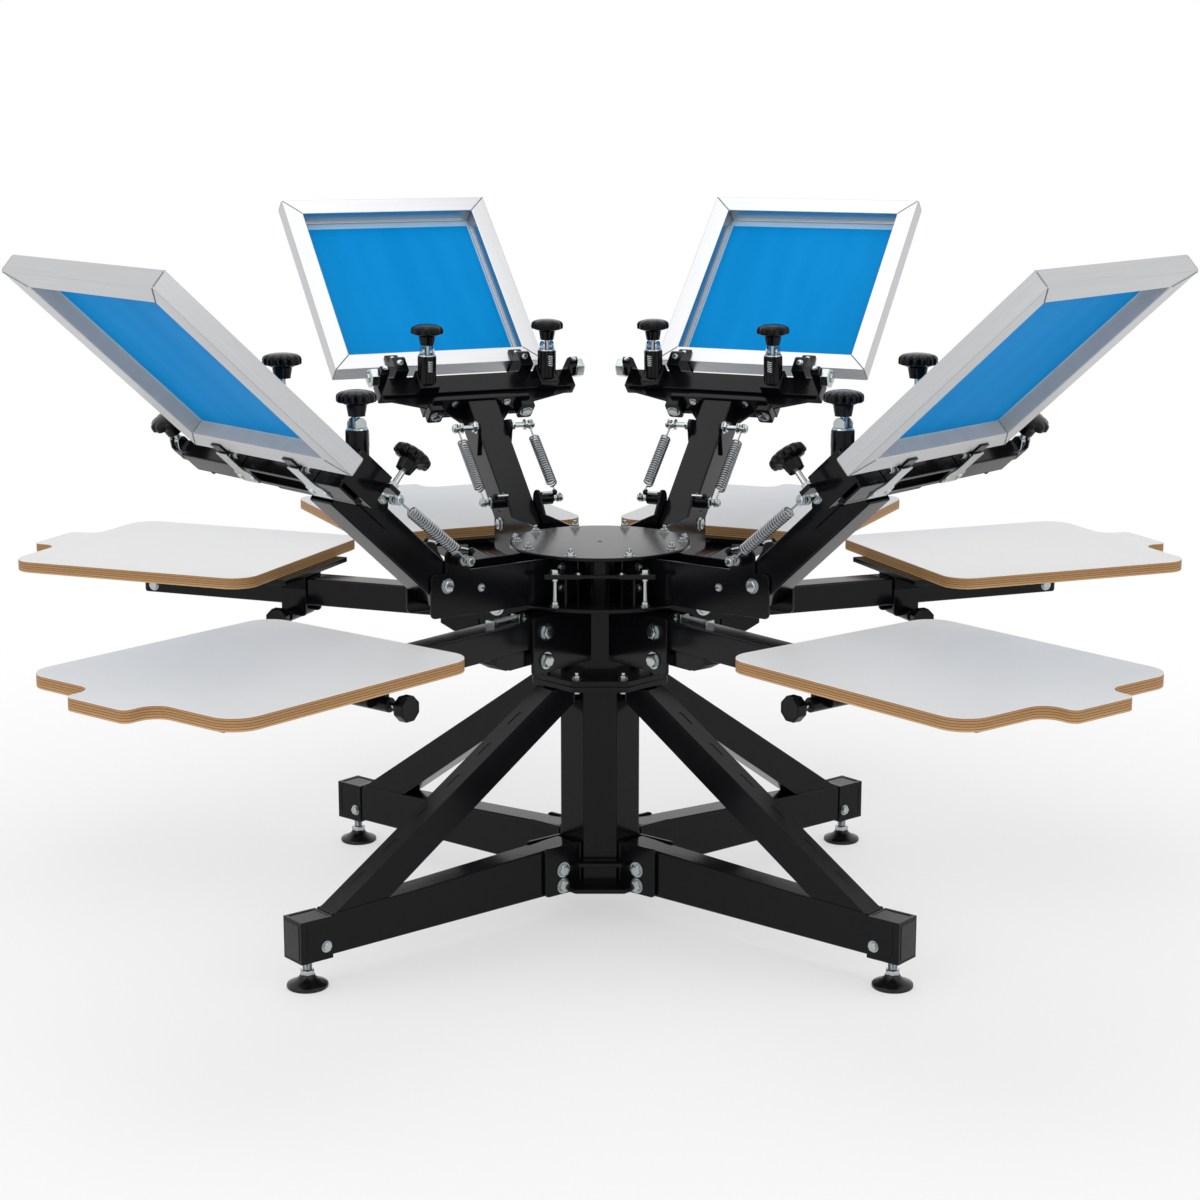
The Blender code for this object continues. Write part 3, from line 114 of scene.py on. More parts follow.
class Bolt(Enum):
    """Hexagon heads, by where they sit: width across flats, and height with the washer."""

    FLANGE = (0.013, 0.0065)
    LEG_PLATE = (0.019, 0.008)
    SLEEVE = (0.0135, 0.006)
    HUB_PLATE = (0.0205, 0.0095)
    ARM_END = (0.014, 0.006)
    ARM_ROOT = (0.012, 0.0075)
    TOP_PLATE = (0.0125, 0.0065)
    STOP_FOOT = (0.0145, 0.008)
    STOP_TOP = (0.0155, 0.0075)
    STOP_UNDER = (0.013, 0.005)
    STOP_SMALL = (0.007, 0.0035)
    POST_END = (0.013, 0.006)
    PIN_END = (0.012, 0.005)
    PIVOT = (0.0175, 0.008)
    YOKE_ROOT = (0.010, 0.0045)
    SPRING_EAR = (0.0165, 0.008)
    SPRING_STUD = (0.0145, 0.005)
    STUD_END = (0.013, 0.0055)
    CLAMP_OUTER = (0.0175, 0.005)
    CLAMP_INNER = (0.012, 0.005)
    BAR_PLATE = (0.012, 0.004)
    END_PLATE = (0.013, 0.006)
    UPRIGHT = (0.007, 0.003)
    STRAP_TOP = (0.009, 0.004)
    LIP = (0.008, 0.0035)
    STRAP_UNDER = (0.010, 0.006)
    CHEEK = (0.0095, 0.0045)
    FOOT_SCREW = (0.0105, 0.0014)


class Streak(Enum):
    """The way in which the marks of a surface run, in the frame of its station."""

    ALONG = (0.16, 0.0009, 0.0009)
    ACROSS = (0.0009, 0.16, 0.0009)
    CLOUDY = (0.3, 0.045, 0.3)


def station(azimuth_deg: float, out: float = 0.0, height: float = 0.0, tilt_deg: float = 0.0) -> Matrix:
    """Return the place of a station's frame.

    Args:
        azimuth_deg: Angle from the front towards the left side.
        out: Distance from the axis of the wheels.
        height: Height above the floor.
        tilt_deg: How far the frame's outer end is lifted.

    Returns:
        The matrix that carries the frame's coordinates to the scene's.
    """
    turn = Matrix.Rotation(-math.pi / 2 - math.radians(azimuth_deg), 4, "Z")
    tilt = Matrix.Rotation(-math.radians(tilt_deg), 4, "Y")
    return Matrix.Translation((0, AXIS_Y, 0)) @ turn @ Matrix.Translation((out, 0, height)) @ tilt


# Finishes


def linear(code: str) -> tuple[float, float, float, float]:
    """Return the linear colour of an sRGB hex code."""
    shares = [int(code[at:at + 2], 16) / 255 for at in (1, 3, 5)]
    red, green, blue = (s / 12.92 if s <= 0.04045 else ((s + 0.055) / 1.055) ** 2.4 for s in shares)
    return red, green, blue, 1.0


def add_node(tree: Tree, kind: str, inputs: dict | None = None, **settings) -> bpy.types.Node:
    """Add a node and fill its inputs with numbers or with links.

    Args:
        tree: The tree to add to.
        kind: The node's type.
        inputs: Socket names or positions with a value or an output socket each.
        settings: Properties of the node itself.

    Returns:
        The new node.
    """
    made = tree.nodes.new(kind)
    for name, value in settings.items():
        setattr(made, name, value)
    for name, value in (inputs or {}).items():
        if isinstance(value, Socket):
            tree.links.new(value, made.inputs[name])
        else:
            made.inputs[name].default_value = value
    return made


def calc(tree: Tree, operation: str, first: Socket | float, second: Socket | float = 0.5) -> Socket:
    """Return what a sum makes of numbers or outputs."""
    return add_node(tree, "ShaderNodeMath", {0: first, 1: second}, operation=operation).outputs[0]


def noise(tree: Tree, place: Socket, scale: float, detail: float, roughness: float = 0.5) -> Socket:
    """Return a soft noise over a surface."""
    inputs = {"Vector": place, "Scale": scale, "Detail": detail, "Roughness": roughness}
    return add_node(tree, "ShaderNodeTexNoise", inputs).outputs[0]


def ranged(tree: Tree, value: Socket, low: float, high: float, start: float = 0.3, end: float = 0.7) -> Socket:
    """Return a value between low and high, as it goes from start to end."""
    inputs = {"Value": value, "From Min": start, "From Max": end, "To Min": low, "To Max": high}
    return add_node(tree, "ShaderNodeMapRange", inputs).outputs[0]


def mixed(tree: Tree, share: Socket, first: Socket | str, second: str) -> Socket:
    """Return a mix of two colours, of which hex codes are made linear."""
    base = linear(first) if isinstance(first, str) else first
    return add_node(tree, "ShaderNodeMix", {0: share, 6: base, 7: linear(second)}, data_type="RGBA").outputs[2]


@dataclass(frozen=True)
class Finish:
    """A real surface: two close tones in soft clouds, and a fine grain that the light catches."""

    name: str
    slot: str
    colour: str
    shade: str
    roughness: Span
    metallic: float = 0.0
    cloud_mm: float = 70.0
    grain_mm: float = 1.2
    bump_mm: float = 0.02
    specular: float = 0.5

    def tone(self, tree: Tree, place: Socket) -> Socket:
        """Return the colour over the surface."""
        return mixed(tree, noise(tree, place, 1 / (self.cloud_mm * MM), 5.0), self.colour, self.shade)

    def grain(self, tree: Tree, place: Socket) -> Socket:
        """Return the height of the fine grain."""
        return noise(tree, place, 1 / (self.grain_mm * MM), 3.0)

    def polish(self, tree: Tree, place: Socket) -> Socket:
        """Return the roughness, which hands and tools leave uneven."""
        return ranged(tree, noise(tree, place, 3 / (self.cloud_mm * MM), 6.0, 0.65), *self.roughness)

    def make(self) -> bpy.types.Material:
        """Build the material."""
        material = bpy.data.materials.new(self.name)
        material.use_nodes = True
        tree = material.node_tree
        shader = tree.nodes["Principled BSDF"]
        place = add_node(tree, "ShaderNodeTexCoord").outputs["Object"]
        bump = add_node(tree, "ShaderNodeBump", {"Height": self.grain(tree, place), "Strength": 1.0,
            "Distance": self.bump_mm * MM})
        tree.links.new(self.tone(tree, place), shader.inputs["Base Color"])
        tree.links.new(self.polish(tree, place), shader.inputs["Roughness"])
        tree.links.new(bump.outputs[0], shader.inputs["Normal"])
        shader.inputs["Metallic"].default_value = self.metallic
        shader.inputs["Specular IOR Level"].default_value = self.specular
        return material


@dataclass(frozen=True)
class StreakedFinish(Finish):
    """A surface whose marks run one way in its station's frame, as brushed metal or a drawn coat."""

    azimuth_deg: float = 0.0
    tilt_deg: float = 0.0
    streak: Streak = Streak.ALONG

    def lines(self, tree: Tree, place: Socket, scale: float, detail: float) -> Socket:
        """Return a noise that is drawn out along the streaks."""
        turn = station(self.azimuth_deg, tilt_deg=self.tilt_deg).to_euler()
        drawn = add_node(tree, "ShaderNodeMapping", {"Vector": place, "Rotation": tuple(turn),
            "Scale": self.streak.value}, vector_type="TEXTURE")
        return noise(tree, drawn.outputs[0], scale, detail)

    def tone(self, tree: Tree, place: Socket) -> Socket:
        """Return the colour, in streaks."""
        return mixed(tree, ranged(tree, self.lines(tree, place, 1.0, 4.0), 0.0, 1.0), self.colour, self.shade)

    def polish(self, tree: Tree, place: Socket) -> Socket:
        """Return the roughness, which changes from streak to streak."""
        return ranged(tree, self.lines(tree, place, 0.7, 3.0), *self.roughness)

    def grain(self, tree: Tree, place: Socket) -> Socket:
        """Return the height of the streaks."""
        return self.lines(tree, place, 1.0, 2.0)


@dataclass(frozen=True)
class PlyFinish(Finish):
    """A board's sawn edge: plies of turning grain with dark glue lines under a white skin."""

    high_z: float = 0.598
    ply_mm: float = 3.9
    glue_share: float = 0.24
    skin_mm: float = 0.8
    skin: str = "#E9E7E2"
    glue: str = "#6E4A2C"
    fibre_scale: Place = (160.0, 160.0, 1500.0)

    def tone(self, tree: Tree, place: Socket) -> Socket:
        """Return the colour of ply, glue line or skin at a height."""
        height = add_node(tree, "ShaderNodeSeparateXYZ", {"Vector": place}).outputs["Z"]
        plies = calc(tree, "DIVIDE", height, self.ply_mm * MM)
        chance = add_node(tree, "ShaderNodeTexWhiteNoise", {"W": calc(tree, "FLOOR", plies)},
            noise_dimensions="1D").outputs[0]
        fibres = add_node(tree, "ShaderNodeMapping", {"Vector": place, "Scale": self.fibre_scale}).outputs[0]
        both = calc(tree, "ADD", chance, noise(tree, fibres, 1.0, 4.0))
        colour = mixed(tree, ranged(tree, both, 0.0, 1.0, 0.3, 1.6), self.colour, self.shade)
        line = calc(tree, "LESS_THAN", calc(tree, "FRACT", plies), self.glue_share)
        colour = mixed(tree, line, colour, self.glue)
        for depth_mm, code in ((1.7 * self.skin_mm, self.glue), (self.skin_mm, self.skin)):
            above = calc(tree, "GREATER_THAN", height, self.high_z - depth_mm * MM)
            colour = mixed(tree, above, colour, code)
        return colour


@lru_cache(maxsize=None)
def material_of(finish: Finish) -> bpy.types.Material:
    """Return a finish's material, built once."""
    return finish.make()


# Baked powder on steel: deep black that softens each lamp into a broad sheen, with a faint peel.
POWDER = Finish("black_powder_coated_steel", "black_powder_coat", "#0A0B0D", "#0D0E11", (0.14, 0.17),
    grain_mm=1.6, bump_mm=0.0012, specular=0.17)
# Painted shade: a darker, duller black for hollows and cut ends that stands in for the shade inside them, so
# that openings read as deep.
PAINTED_SHADE_BLACK = Finish("dull_black_inside_coat", "black_powder_coat", "#070708", "#0B0B0D", (0.5, 0.62),
    grain_mm=1.6, bump_mm=0.02, specular=0.15)
# Phenolic knobs: harder gloss than the coat, so that each lobe carries its own small highlight.
PHENOLIC = Finish("moulded_black_phenolic", "black_plastic", "#060607", "#09090A", (0.10, 0.15), grain_mm=0.8,
    bump_mm=0.002, specular=0.18)
# Pressed nylon pads and end caps: even and half matt, with the mould's fine texture.
NYLON = Finish("moulded_black_nylon", "black_plastic", "#0B0B0C", "#101011", (0.24, 0.34), grain_mm=0.7,
    bump_mm=0.008, specular=0.35)
# Zinc plate with a clear passivate: cool silver, a little uneven from screw to screw.
ZINC = Finish("zinc_plated_steel", "zinc_plate", "#BCC3C5", "#A8AEAE", (0.12, 0.22), metallic=1.0,
    cloud_mm=26.0, grain_mm=0.6, bump_mm=0.001)
# Oiled spring wire: darker than the plate, so that the coils part from each other.
SPRING_WIRE = Finish("oiled_spring_wire", "zinc_plate", "#A3A7A9", "#83878A", (0.16, 0.24), metallic=1.0,
    cloud_mm=26.0, grain_mm=0.6, bump_mm=0.001)
# Hard chromed studs and posts: near mirrors that show a dark and a light line along their length.
CHROME = Finish("bright_chromed_steel", "zinc_plate", "#B9BCBF", "#A8ACAF", (0.08, 0.14), metallic=1.0,
    cloud_mm=20.0, grain_mm=0.6, bump_mm=0.002)
# Ground weld and cut ends of the tube: dull grey against the bright rails.
WELD_METAL = Finish("ground_aluminium_weld", "brushed_aluminium", "#9DA0A2", "#6F7274", (0.35, 0.55),
    metallic=1.0, cloud_mm=6.0, grain_mm=1.0, bump_mm=0.12)
# Painted shade on the frames' inner walls: a matt pale grey lining, without the shine of the drawn faces, so
# that the walls read darker than the rails.
PAINTED_SHADE_INNER_WALL = Finish("inner_wall_painted_shade", "brushed_aluminium", "#C6C5C3", "#B0AFAE", (0.5, 0.6),
    metallic=0.15, cloud_mm=40.0, grain_mm=0.8, bump_mm=0.01, specular=0.3)
# White melamine skin: a clean even white with the sheen of a worktop.
LAMINATE = Finish("white_melamine_laminate", "white_laminate", "#E4E4E4", "#E1E1E1", (0.34, 0.42),
    cloud_mm=160.0, grain_mm=0.9, bump_mm=0.004, specular=0.4)
# Birch plywood edge: warm plies and glue lines that give the boards their thickness.
PLY_EDGE = PlyFinish("birch_plywood_edge", "white_laminate", "#CDA676", "#A67C4F", (0.5, 0.62), grain_mm=0.5,
    bump_mm=0.03, specular=0.3)
# Uncoated polyester mesh: a pale sheen that takes on the blue of the coat beside it.
BARE_MESH = Finish("bare_polyester_mesh", "brushed_aluminium", "#9CC4E4", "#B1D0EA", (0.4, 0.5), grain_mm=0.35,
    bump_mm=0.01, specular=0.3)


def aluminium(azimuth_deg: float, tilt_deg: float, streak: Streak) -> StreakedFinish:
    """Return extruded aluminium: bright, with faint draw lines that run along the rail."""
    name = f"drawn_aluminium_{azimuth_deg:.0f}_{streak.name.lower()}"
    return StreakedFinish(name, "brushed_aluminium", "#C6C7C9", "#BCBEC0", (0.27, 0.33), metallic=1.0,
        cloud_mm=60.0, bump_mm=0.0004, azimuth_deg=azimuth_deg, tilt_deg=tilt_deg, streak=streak)


def emulsion(azimuth_deg: float, tilt_deg: float) -> StreakedFinish:
    """Return dried blue emulsion: flat strong blue, faintly streaked along the squeegee's pull."""
    return StreakedFinish(f"dried_blue_emulsion_{azimuth_deg:.0f}", "brushed_aluminium", "#0088D0", "#0890D8",
        (0.42, 0.52), cloud_mm=120.0, bump_mm=0.01, specular=0.03, azimuth_deg=azimuth_deg, tilt_deg=tilt_deg,
        streak=Streak.CLOUDY)


# Meshes


def between(a: float, b: float) -> Span:
    """Return two numbers in rising order."""
    return (a, b) if a < b else (b, a)


def sign(value: float) -> int:
    """Return 1 or -1, as a number is above or below zero."""
    return 1 if value > 0 else -1


def arc(centre: Point, radius: float, start_deg: float, end_deg: float, steps: int) -> list[Point]:
    """Return the points of an arc in the order in which it is drawn."""
    angles = [math.radians(start_deg + (end_deg - start_deg) * step / steps) for step in range(steps + 1)]
    return [(centre[0] + radius * math.cos(a), centre[1] + radius * math.sin(a)) for a in angles]


def rounded(x: Span, y: Span, radius: float, steps: int = 5) -> list[Point]:
    """Return a rectangle with round corners."""
    points: list[Point] = []
    corners = ((x[1], y[1], -1, -1, 0), (x[0], y[1], 1, -1, 90), (x[0], y[0], 1, 1, 180),
        (x[1], y[0], -1, 1, 270))
    for px, py, sx, sy, start in corners:
        points += arc((px + sx * radius, py + sy * radius), radius, start, start + 90, steps)
    return points


def octagon(across_flats: float) -> list[Point]:
    """Return an eight-sided outline with a flat towards the front."""
    reach = across_flats / 2 / math.cos(math.pi / 8)
    turns = [math.pi / 8 + math.pi / 4 * step for step in range(8)]
    return [(reach * math.cos(turn), reach * math.sin(turn)) for turn in turns]


def stadium(centre: Point, length: float, width: float, steps: int = 6) -> list[Point]:
    """Return a slot's outline along X."""
    half = (length - width) / 2
    return (arc((centre[0] + half, centre[1]), width / 2, -90, 90, steps)
            + arc((centre[0] - half, centre[1]), width / 2, 90, 270, steps))


def stadium_up(centre: Point, length: float, width: float) -> list[Point]:
    """Return a slot's outline along the second axis."""
    return [(centre[0] + y, centre[1] + x) for x, y in stadium((0.0, 0.0), length, width)]


def flange_corners() -> list[Point]:
    """Return where the eight bolts of a flange stand."""
    turns = [math.pi / 8 + index * math.pi / 4 for index in range(8)]
    return [(FLANGE_BOLT_REACH * math.cos(turn), FLANGE_BOLT_REACH * math.sin(turn)) for turn in turns]


def evaluated_mesh(thing: bpy.types.Object) -> bpy.types.Mesh:
    """Return the plain mesh that an object evaluates to, and remove the object."""
    bpy.context.view_layer.update()
    graph = bpy.context.evaluated_depsgraph_get()
    mesh = bpy.data.meshes.new_from_object(thing.evaluated_get(graph))
    bpy.data.objects.remove(thing, do_unlink=True)
    return mesh


def linked(name: str, data: bpy.types.ID) -> bpy.types.Object:
    """Return a new object, with its data, that is linked to the scene."""
    thing = bpy.data.objects.new(name, data)
    bpy.context.scene.collection.objects.link(thing)
    return thing


@dataclass
class Layer:
    """The islands of one material slot, joined into one mesh."""

    mesh: bmesh.types.BMesh = field(default_factory=bmesh.new)
    finishes: list[Finish] = field(default_factory=list)


@dataclass
class Shape:
    """A piece under construction, drawn in its station's frame."""

    layers: dict[str, Layer] = field(default_factory=dict)
    bolts: list[tuple[Vector, Vector, Vector]] = field(default_factory=list)

    def bolt(self, seat: Place, axis: Place, size: Bolt) -> None:
        """Set a hexagon bolt whose head stands on a seat, washer included."""
        across_flats, height = size.value
        reach = across_flats / math.sqrt(3)
        self.bolts.append((Vector(seat), Vector(axis).normalized(), Vector((reach, reach, height))))

    def join_bolts(self) -> None:
        """Join the heads of all the bolts that were set, made together from points."""
        if not self.bolts:
            return
        seats, axes, sizes = zip(*self.bolts)
        source = bpy.data.meshes.new("seats")
        source.from_pydata([tuple(seat) for seat in seats], [], [])
        for name, rows in (("axis", axes), ("size", sizes)):
            attribute = source.attributes.new(name, "FLOAT_VECTOR", "POINT")
            attribute.data.foreach_set("vector", [length for row in rows for length in row])
        self.bolts = []
        self.add_mesh(run_group(bolt_group(), source, {**HEAD_FORM, "Finish": material_of(ZINC)}), Matrix(),
            ZINC)

    def keep(self, island: bmesh.types.BMesh, finish: Finish, bevel: float = 0.0, segments: int = 2) -> None:
        """Round an island's edges and join it to the piece.

        Args:
            island: The closed mesh to join; it is freed.
            finish: What covers it.
            bevel: Radius of its edges.
            segments: Strips across each rounded edge.
        """
        bmesh.ops.recalc_face_normals(island, faces=island.faces)
        if bevel > 0:
            sharp = [e for e in island.edges if e.is_manifold and e.calc_face_angle(0) > math.radians(25)]
            bmesh.ops.bevel(island, geom=sharp, offset=bevel, segments=segments, profile=0.5, affect="EDGES",
                clamp_overlap=True)
        layer = self.layers.setdefault(finish.slot, Layer())
        if finish not in layer.finishes:
            layer.finishes.append(finish)
        number = layer.finishes.index(finish)
        for face in island.faces:
            face.material_index = number
            face.smooth = True
        for edge in island.edges:
            edge.smooth = edge.calc_face_angle(math.pi) < math.radians(50) if edge.is_manifold else False
        mesh = bpy.data.meshes.new("island")
        island.to_mesh(mesh)
        island.free()
        layer.mesh.from_mesh(mesh)
        bpy.data.meshes.remove(mesh)

    def prism(self, outline: list[Point], span: Span, finish: Finish, bevel: float = 0.0,
            plane: Plane = Plane.TOP, segments: int = 2, cuts: list[bmesh.types.BMesh] | None = None) -> None:
        """Add a prism, with any cuts made in it first."""
        island = prism_mesh(outline, span, plane)
        if cuts:
            island = carved(island, cuts)
        self.keep(island, finish, bevel, segments)

    def box(self, x: Span, y: Span, z: Span, finish: Finish, bevel: float = 0.0012, segments: int = 2) -> None:
        """Add a box between three pairs of limits."""
        self.prism([(x[0], y[0]), (x[1], y[0]), (x[1], y[1]), (x[0], y[1])], z, finish, bevel,
            segments=segments)

    def lathe(self, start: Vector, axis: Vector, profile: list[Point], finish: Finish, sides: int = 32,
            bevel: float = 0.0, ring: bool = False, turn: float = 0.0) -> None:
        """Add a turned piece.

        Args:
            start: Where the profile's zero lies.
            axis: The way in which the profile runs.
            profile: Radius and distance along the axis, point by point.
            finish: What covers it.
            sides: Faces round the axis.
            bevel: Radius of its sharp edges.
            ring: Whether the profile closes on itself and leaves a hole.
            turn: Angle of the first corner.
        """
        island = bmesh.new()
        rings = []
        for radius, along in profile:
            if radius < MM / 100 and not ring:
                rings.append([island.verts.new((0, 0, along))] * sides)
                continue
            angles = [turn + 2 * math.pi * step / sides for step in range(sides)]
            rings.append([island.verts.new((radius * math.cos(a), radius * math.sin(a), along))
                for a in angles])
        pairs = list(zip(rings, rings[1:])) + ([(rings[-1], rings[0])] if ring else [])
        for low, high in pairs:
            skin(island, low, high)
        for end in (rings[0], rings[-1]):
            if not ring and end[0] is not end[1]:
                island.faces.new(end)
        bmesh.ops.transform(island, matrix=turned(start, axis), verts=island.verts)
        self.keep(island, finish, bevel)

    def bar(self, start: Vector, end: Vector, radius: float, finish: Finish, sides: int = 28,
            bevel: float = 0.0) -> None:
        """Add a straight round bar, or a hexagonal one with six sides."""
        axis = Vector(end) - Vector(start)
        self.lathe(start, axis, [(radius, 0.0), (radius, axis.length)], finish, sides, bevel)

    def wire(self, points: list[Vector], radius: float, finish: Finish, sides: int = 8,
            waver: float = 0.0) -> None:
        """Add a round wire along a path, whose radius may waver like a weld bead."""
        island = bmesh.new()
        rings = []
        normal = None
        for at, point in enumerate(points):
            before, after = points[max(at - 1, 0)], points[min(at + 1, len(points) - 1)]
            tangent = (after - before).normalized()
            guess = normal if normal is not None else tangent.orthogonal()
            normal = (guess - tangent * guess.dot(tangent)).normalized()
            across = tangent.cross(normal)
            reach = radius * (1 + waver * math.sin(at * 2.4))
            angles = [2 * math.pi * step / sides for step in range(sides)]
            rings.append([island.verts.new(point + reach * (normal * math.cos(a) + across * math.sin(a)))
                for a in angles])
        for low, high in zip(rings, rings[1:]):
            skin(island, low, high)
        island.faces.new(rings[0])
        island.faces.new(rings[-1])
        self.keep(island, finish)

    def bead(self, start: Vector, end: Vector, radius: float, finish: Finish) -> None:
        """Add a weld bead along a line."""
        steps = max(4, int((Vector(end) - Vector(start)).length / (radius * 1.3)))
        points = [Vector(start).lerp(Vector(end), step / steps) for step in range(steps + 1)]
        self.wire(points, radius, finish, waver=0.18)

    def add_mesh(self, mesh: bpy.types.Mesh, frame: Matrix, finish: Finish) -> None:
        """Join a finished mesh, carried by a matrix."""
        island = bmesh.new()
        island.from_mesh(mesh)
        bmesh.ops.transform(island, matrix=frame, verts=island.verts)
        self.keep(island, finish)

    def place(self, name: str, body: str, frame: Matrix, replaced: tuple[str, ...] = ()) -> None:
        """Stand the piece in the scene, once for each of its material slots.

        Args:
            name: What the piece is.
            body: The moving body that it rides on.
            frame: The matrix that carries it to its place.
            replaced: The CAD nodes that it stands for.
        """
        self.join_bolts()
        for slot, layer in self.layers.items():
            mesh = bpy.data.meshes.new(name)
            layer.mesh.to_mesh(mesh)
            mesh.transform(frame)
            for finish in layer.finishes:
                mesh.materials.append(material_of(finish))
            thing = linked(f"{name}_{slot}", mesh)
            weighted = thing.modifiers.new("even_faces", "WEIGHTED_NORMAL")
            weighted.keep_sharp = True
            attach(thing, body)
        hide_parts(*replaced)


def skin(island: bmesh.types.BMesh, low: list[bmesh.types.BMVert], high: list[bmesh.types.BMVert]) -> None:
    """Join two closed rings of points with faces, of which those at a single point are triangles."""
    for at in range(len(low)):
        after = (at + 1) % len(low)
        corners = list(dict.fromkeys((low[at], low[after], high[after], high[at])))
        if len(corners) > 2:
            island.faces.new(corners)


def turned(start: Vector, axis: Vector) -> Matrix:
    """Return the matrix that carries +Z at the origin to an axis at a point."""
    return Matrix.Translation(start) @ UP.rotation_difference(Vector(axis)).to_matrix().to_4x4()


def prism_mesh(outline: list[Point], span: Span, plane: Plane = Plane.TOP) -> bmesh.types.BMesh:
    """Return a prism over an outline."""
    def at(point: Point, depth: float) -> Vector:
        if plane is Plane.FRONT:
            return Vector((depth, *point))
        return Vector((*point, depth)) if plane is Plane.TOP else Vector((point[0], depth, point[1]))

    island = bmesh.new()
    low = [island.verts.new(at(point, span[0])) for point in outline]
    high = [island.verts.new(at(point, span[1])) for point in outline]
    island.faces.new(low)
    island.faces.new(high)
    skin(island, low, high)
    bmesh.ops.recalc_face_normals(island, faces=island.faces)
    return island


def carved(island: bmesh.types.BMesh, cuts: list[bmesh.types.BMesh]) -> bmesh.types.BMesh:
    """Return an island with other closed meshes cut out of it."""
    things = []
    for shape in [island, *cuts]:
        mesh = bpy.data.meshes.new("step")
        shape.to_mesh(mesh)
        shape.free()
        things.append(linked("step", mesh))
    body = things[0]
    for cutter in things[1:]:
        step = body.modifiers.new("cut", "BOOLEAN")
        step.operation, step.solver, step.object = "DIFFERENCE", "EXACT", cutter
    mesh = evaluated_mesh(body)
    for cutter in things[1:]:
        bpy.data.objects.remove(cutter, do_unlink=True)
    result = bmesh.new()
    result.from_mesh(mesh)
    return result


# Repeated pieces

# A bolt's washer and chamfer as shares of its height, and the washer's reach as a share of the head's.
HEAD_FORM = {"Washer Share": 0.2, "Washer Reach": 1.25, "Chamfer Share": 0.14}


def socket_id(group: Tree, name: str) -> str:
    """Return the identifier of a node group's input."""
    return next(item.identifier for item in group.interface.items_tree if item.name == name)


def new_group(name: str, inputs: dict[str, float]) -> Tree:
    """Return a Geometry Nodes group with named inputs, a material input and one geometry output."""
    group = bpy.data.node_groups.new(name, "GeometryNodeTree")
    group.interface.new_socket("Geometry", in_out="INPUT", socket_type="NodeSocketGeometry")
    for label, value in inputs.items():
        group.interface.new_socket(label, in_out="INPUT", socket_type="NodeSocketFloat").default_value = value
    group.interface.new_socket("Finish", in_out="INPUT", socket_type="NodeSocketMaterial")
    group.interface.new_socket("Geometry", in_out="OUTPUT", socket_type="NodeSocketGeometry")
    return group


def close_group(group: Tree, geometry: Socket, finish: Socket) -> None:
    """End a group by realizing its instances and giving them their material."""
    real = add_node(group, "GeometryNodeRealizeInstances", {0: geometry})
    covered = add_node(group, "GeometryNodeSetMaterial", {"Geometry": real.outputs[0], "Material": finish})
    end = add_node(group, "NodeGroupOutput")
    group.links.new(covered.outputs[0], end.inputs[0])


@lru_cache(maxsize=None)
def bolt_group() -> Tree:
    """Return the group that sets a chamfered hexagon head with its washer on every point."""
    group = new_group("hexagon_heads", HEAD_FORM)
    start = add_node(group, "NodeGroupInput")
    washer, reach, chamfer = (start.outputs[name] for name in HEAD_FORM)
    straight = calc(group, "SUBTRACT", 1.0, calc(group, "ADD", washer, chamfer))
    low = calc(group, "MULTIPLY", washer, 0.5)
    middle = calc(group, "ADD", washer, calc(group, "MULTIPLY", straight, 0.5))
    high = calc(group, "SUBTRACT", 1.0, chamfer)
    joined = add_node(group, "GeometryNodeJoinGeometry")
    forms = (
        ("Cylinder", {"Vertices": 24, "Radius": reach, "Depth": washer}, low),
        ("Cylinder", {"Vertices": 6, "Radius": 1.0, "Depth": straight}, middle),
        ("Cone", {"Vertices": 6, "Radius Top": 0.8, "Radius Bottom": 1.0, "Depth": chamfer}, high))
    for kind, inputs, rise in forms:
        piece = add_node(group, "GeometryNodeMesh" + kind, inputs)
        lift = add_node(group, "ShaderNodeCombineXYZ", {"Z": rise})
        moved = add_node(group, "GeometryNodeTransform", {"Geometry": piece.outputs[0],
            "Translation": lift.outputs[0]})
        group.links.new(moved.outputs[0], joined.inputs[0])
    axis, size = (add_node(group, "GeometryNodeInputNamedAttribute", {"Name": name}, data_type="FLOAT_VECTOR")
        for name in ("axis", "size"))
    towards = add_node(group, "FunctionNodeAlignRotationToVector", {"Vector": axis.outputs[0]}, axis="Z")
    heads = add_node(group, "GeometryNodeInstanceOnPoints", {
        "Points": start.outputs["Geometry"], "Instance": joined.outputs[0], "Rotation": towards.outputs[0],
        "Scale": size.outputs[0]})
    close_group(group, heads.outputs[0], start.outputs["Finish"])
    return group


@lru_cache(maxsize=None)
def coil_group() -> Tree:
    """Return the group that winds a close coil of wire along Z."""
    group = new_group("close_coil", {"Turns": 25.0, "Radius": 0.008, "Length": 0.09, "Wire": 0.0017})
    start = add_node(group, "NodeGroupInput").outputs
    spiral = add_node(group, "GeometryNodeCurveSpiral", {
        "Resolution": 20, "Rotations": start["Turns"], "Start Radius": start["Radius"],
        "End Radius": start["Radius"], "Height": start["Length"]})
    profile = add_node(group, "GeometryNodeCurvePrimitiveCircle", {"Resolution": 8, "Radius": start["Wire"]})
    tube = add_node(group, "GeometryNodeCurveToMesh", {"Curve": spiral.outputs[0],
        "Profile Curve": profile.outputs[0], "Fill Caps": True})
    close_group(group, tube.outputs[0], start["Finish"])
    return group


def run_group(group: Tree, source: bpy.types.Mesh, values: dict[str, object]) -> bpy.types.Mesh:
    """Return the mesh that a group makes from a source mesh and its named inputs."""
    thing = linked("step", source)
    step = thing.modifiers.new("repeat", "NODES")
    step.node_group = group
    for name, value in values.items():
        step[socket_id(group, name)] = value
    return evaluated_mesh(thing)


def coil_mesh(turns: float, radius: float, length: float, wire: float, finish: Finish) -> bpy.types.Mesh:
    """Return a close coil along Z from the origin."""
    values = {"Turns": turns, "Radius": radius, "Length": length, "Wire": wire, "Finish": material_of(finish)}
    return run_group(coil_group(), bpy.data.meshes.new("seed"), values)


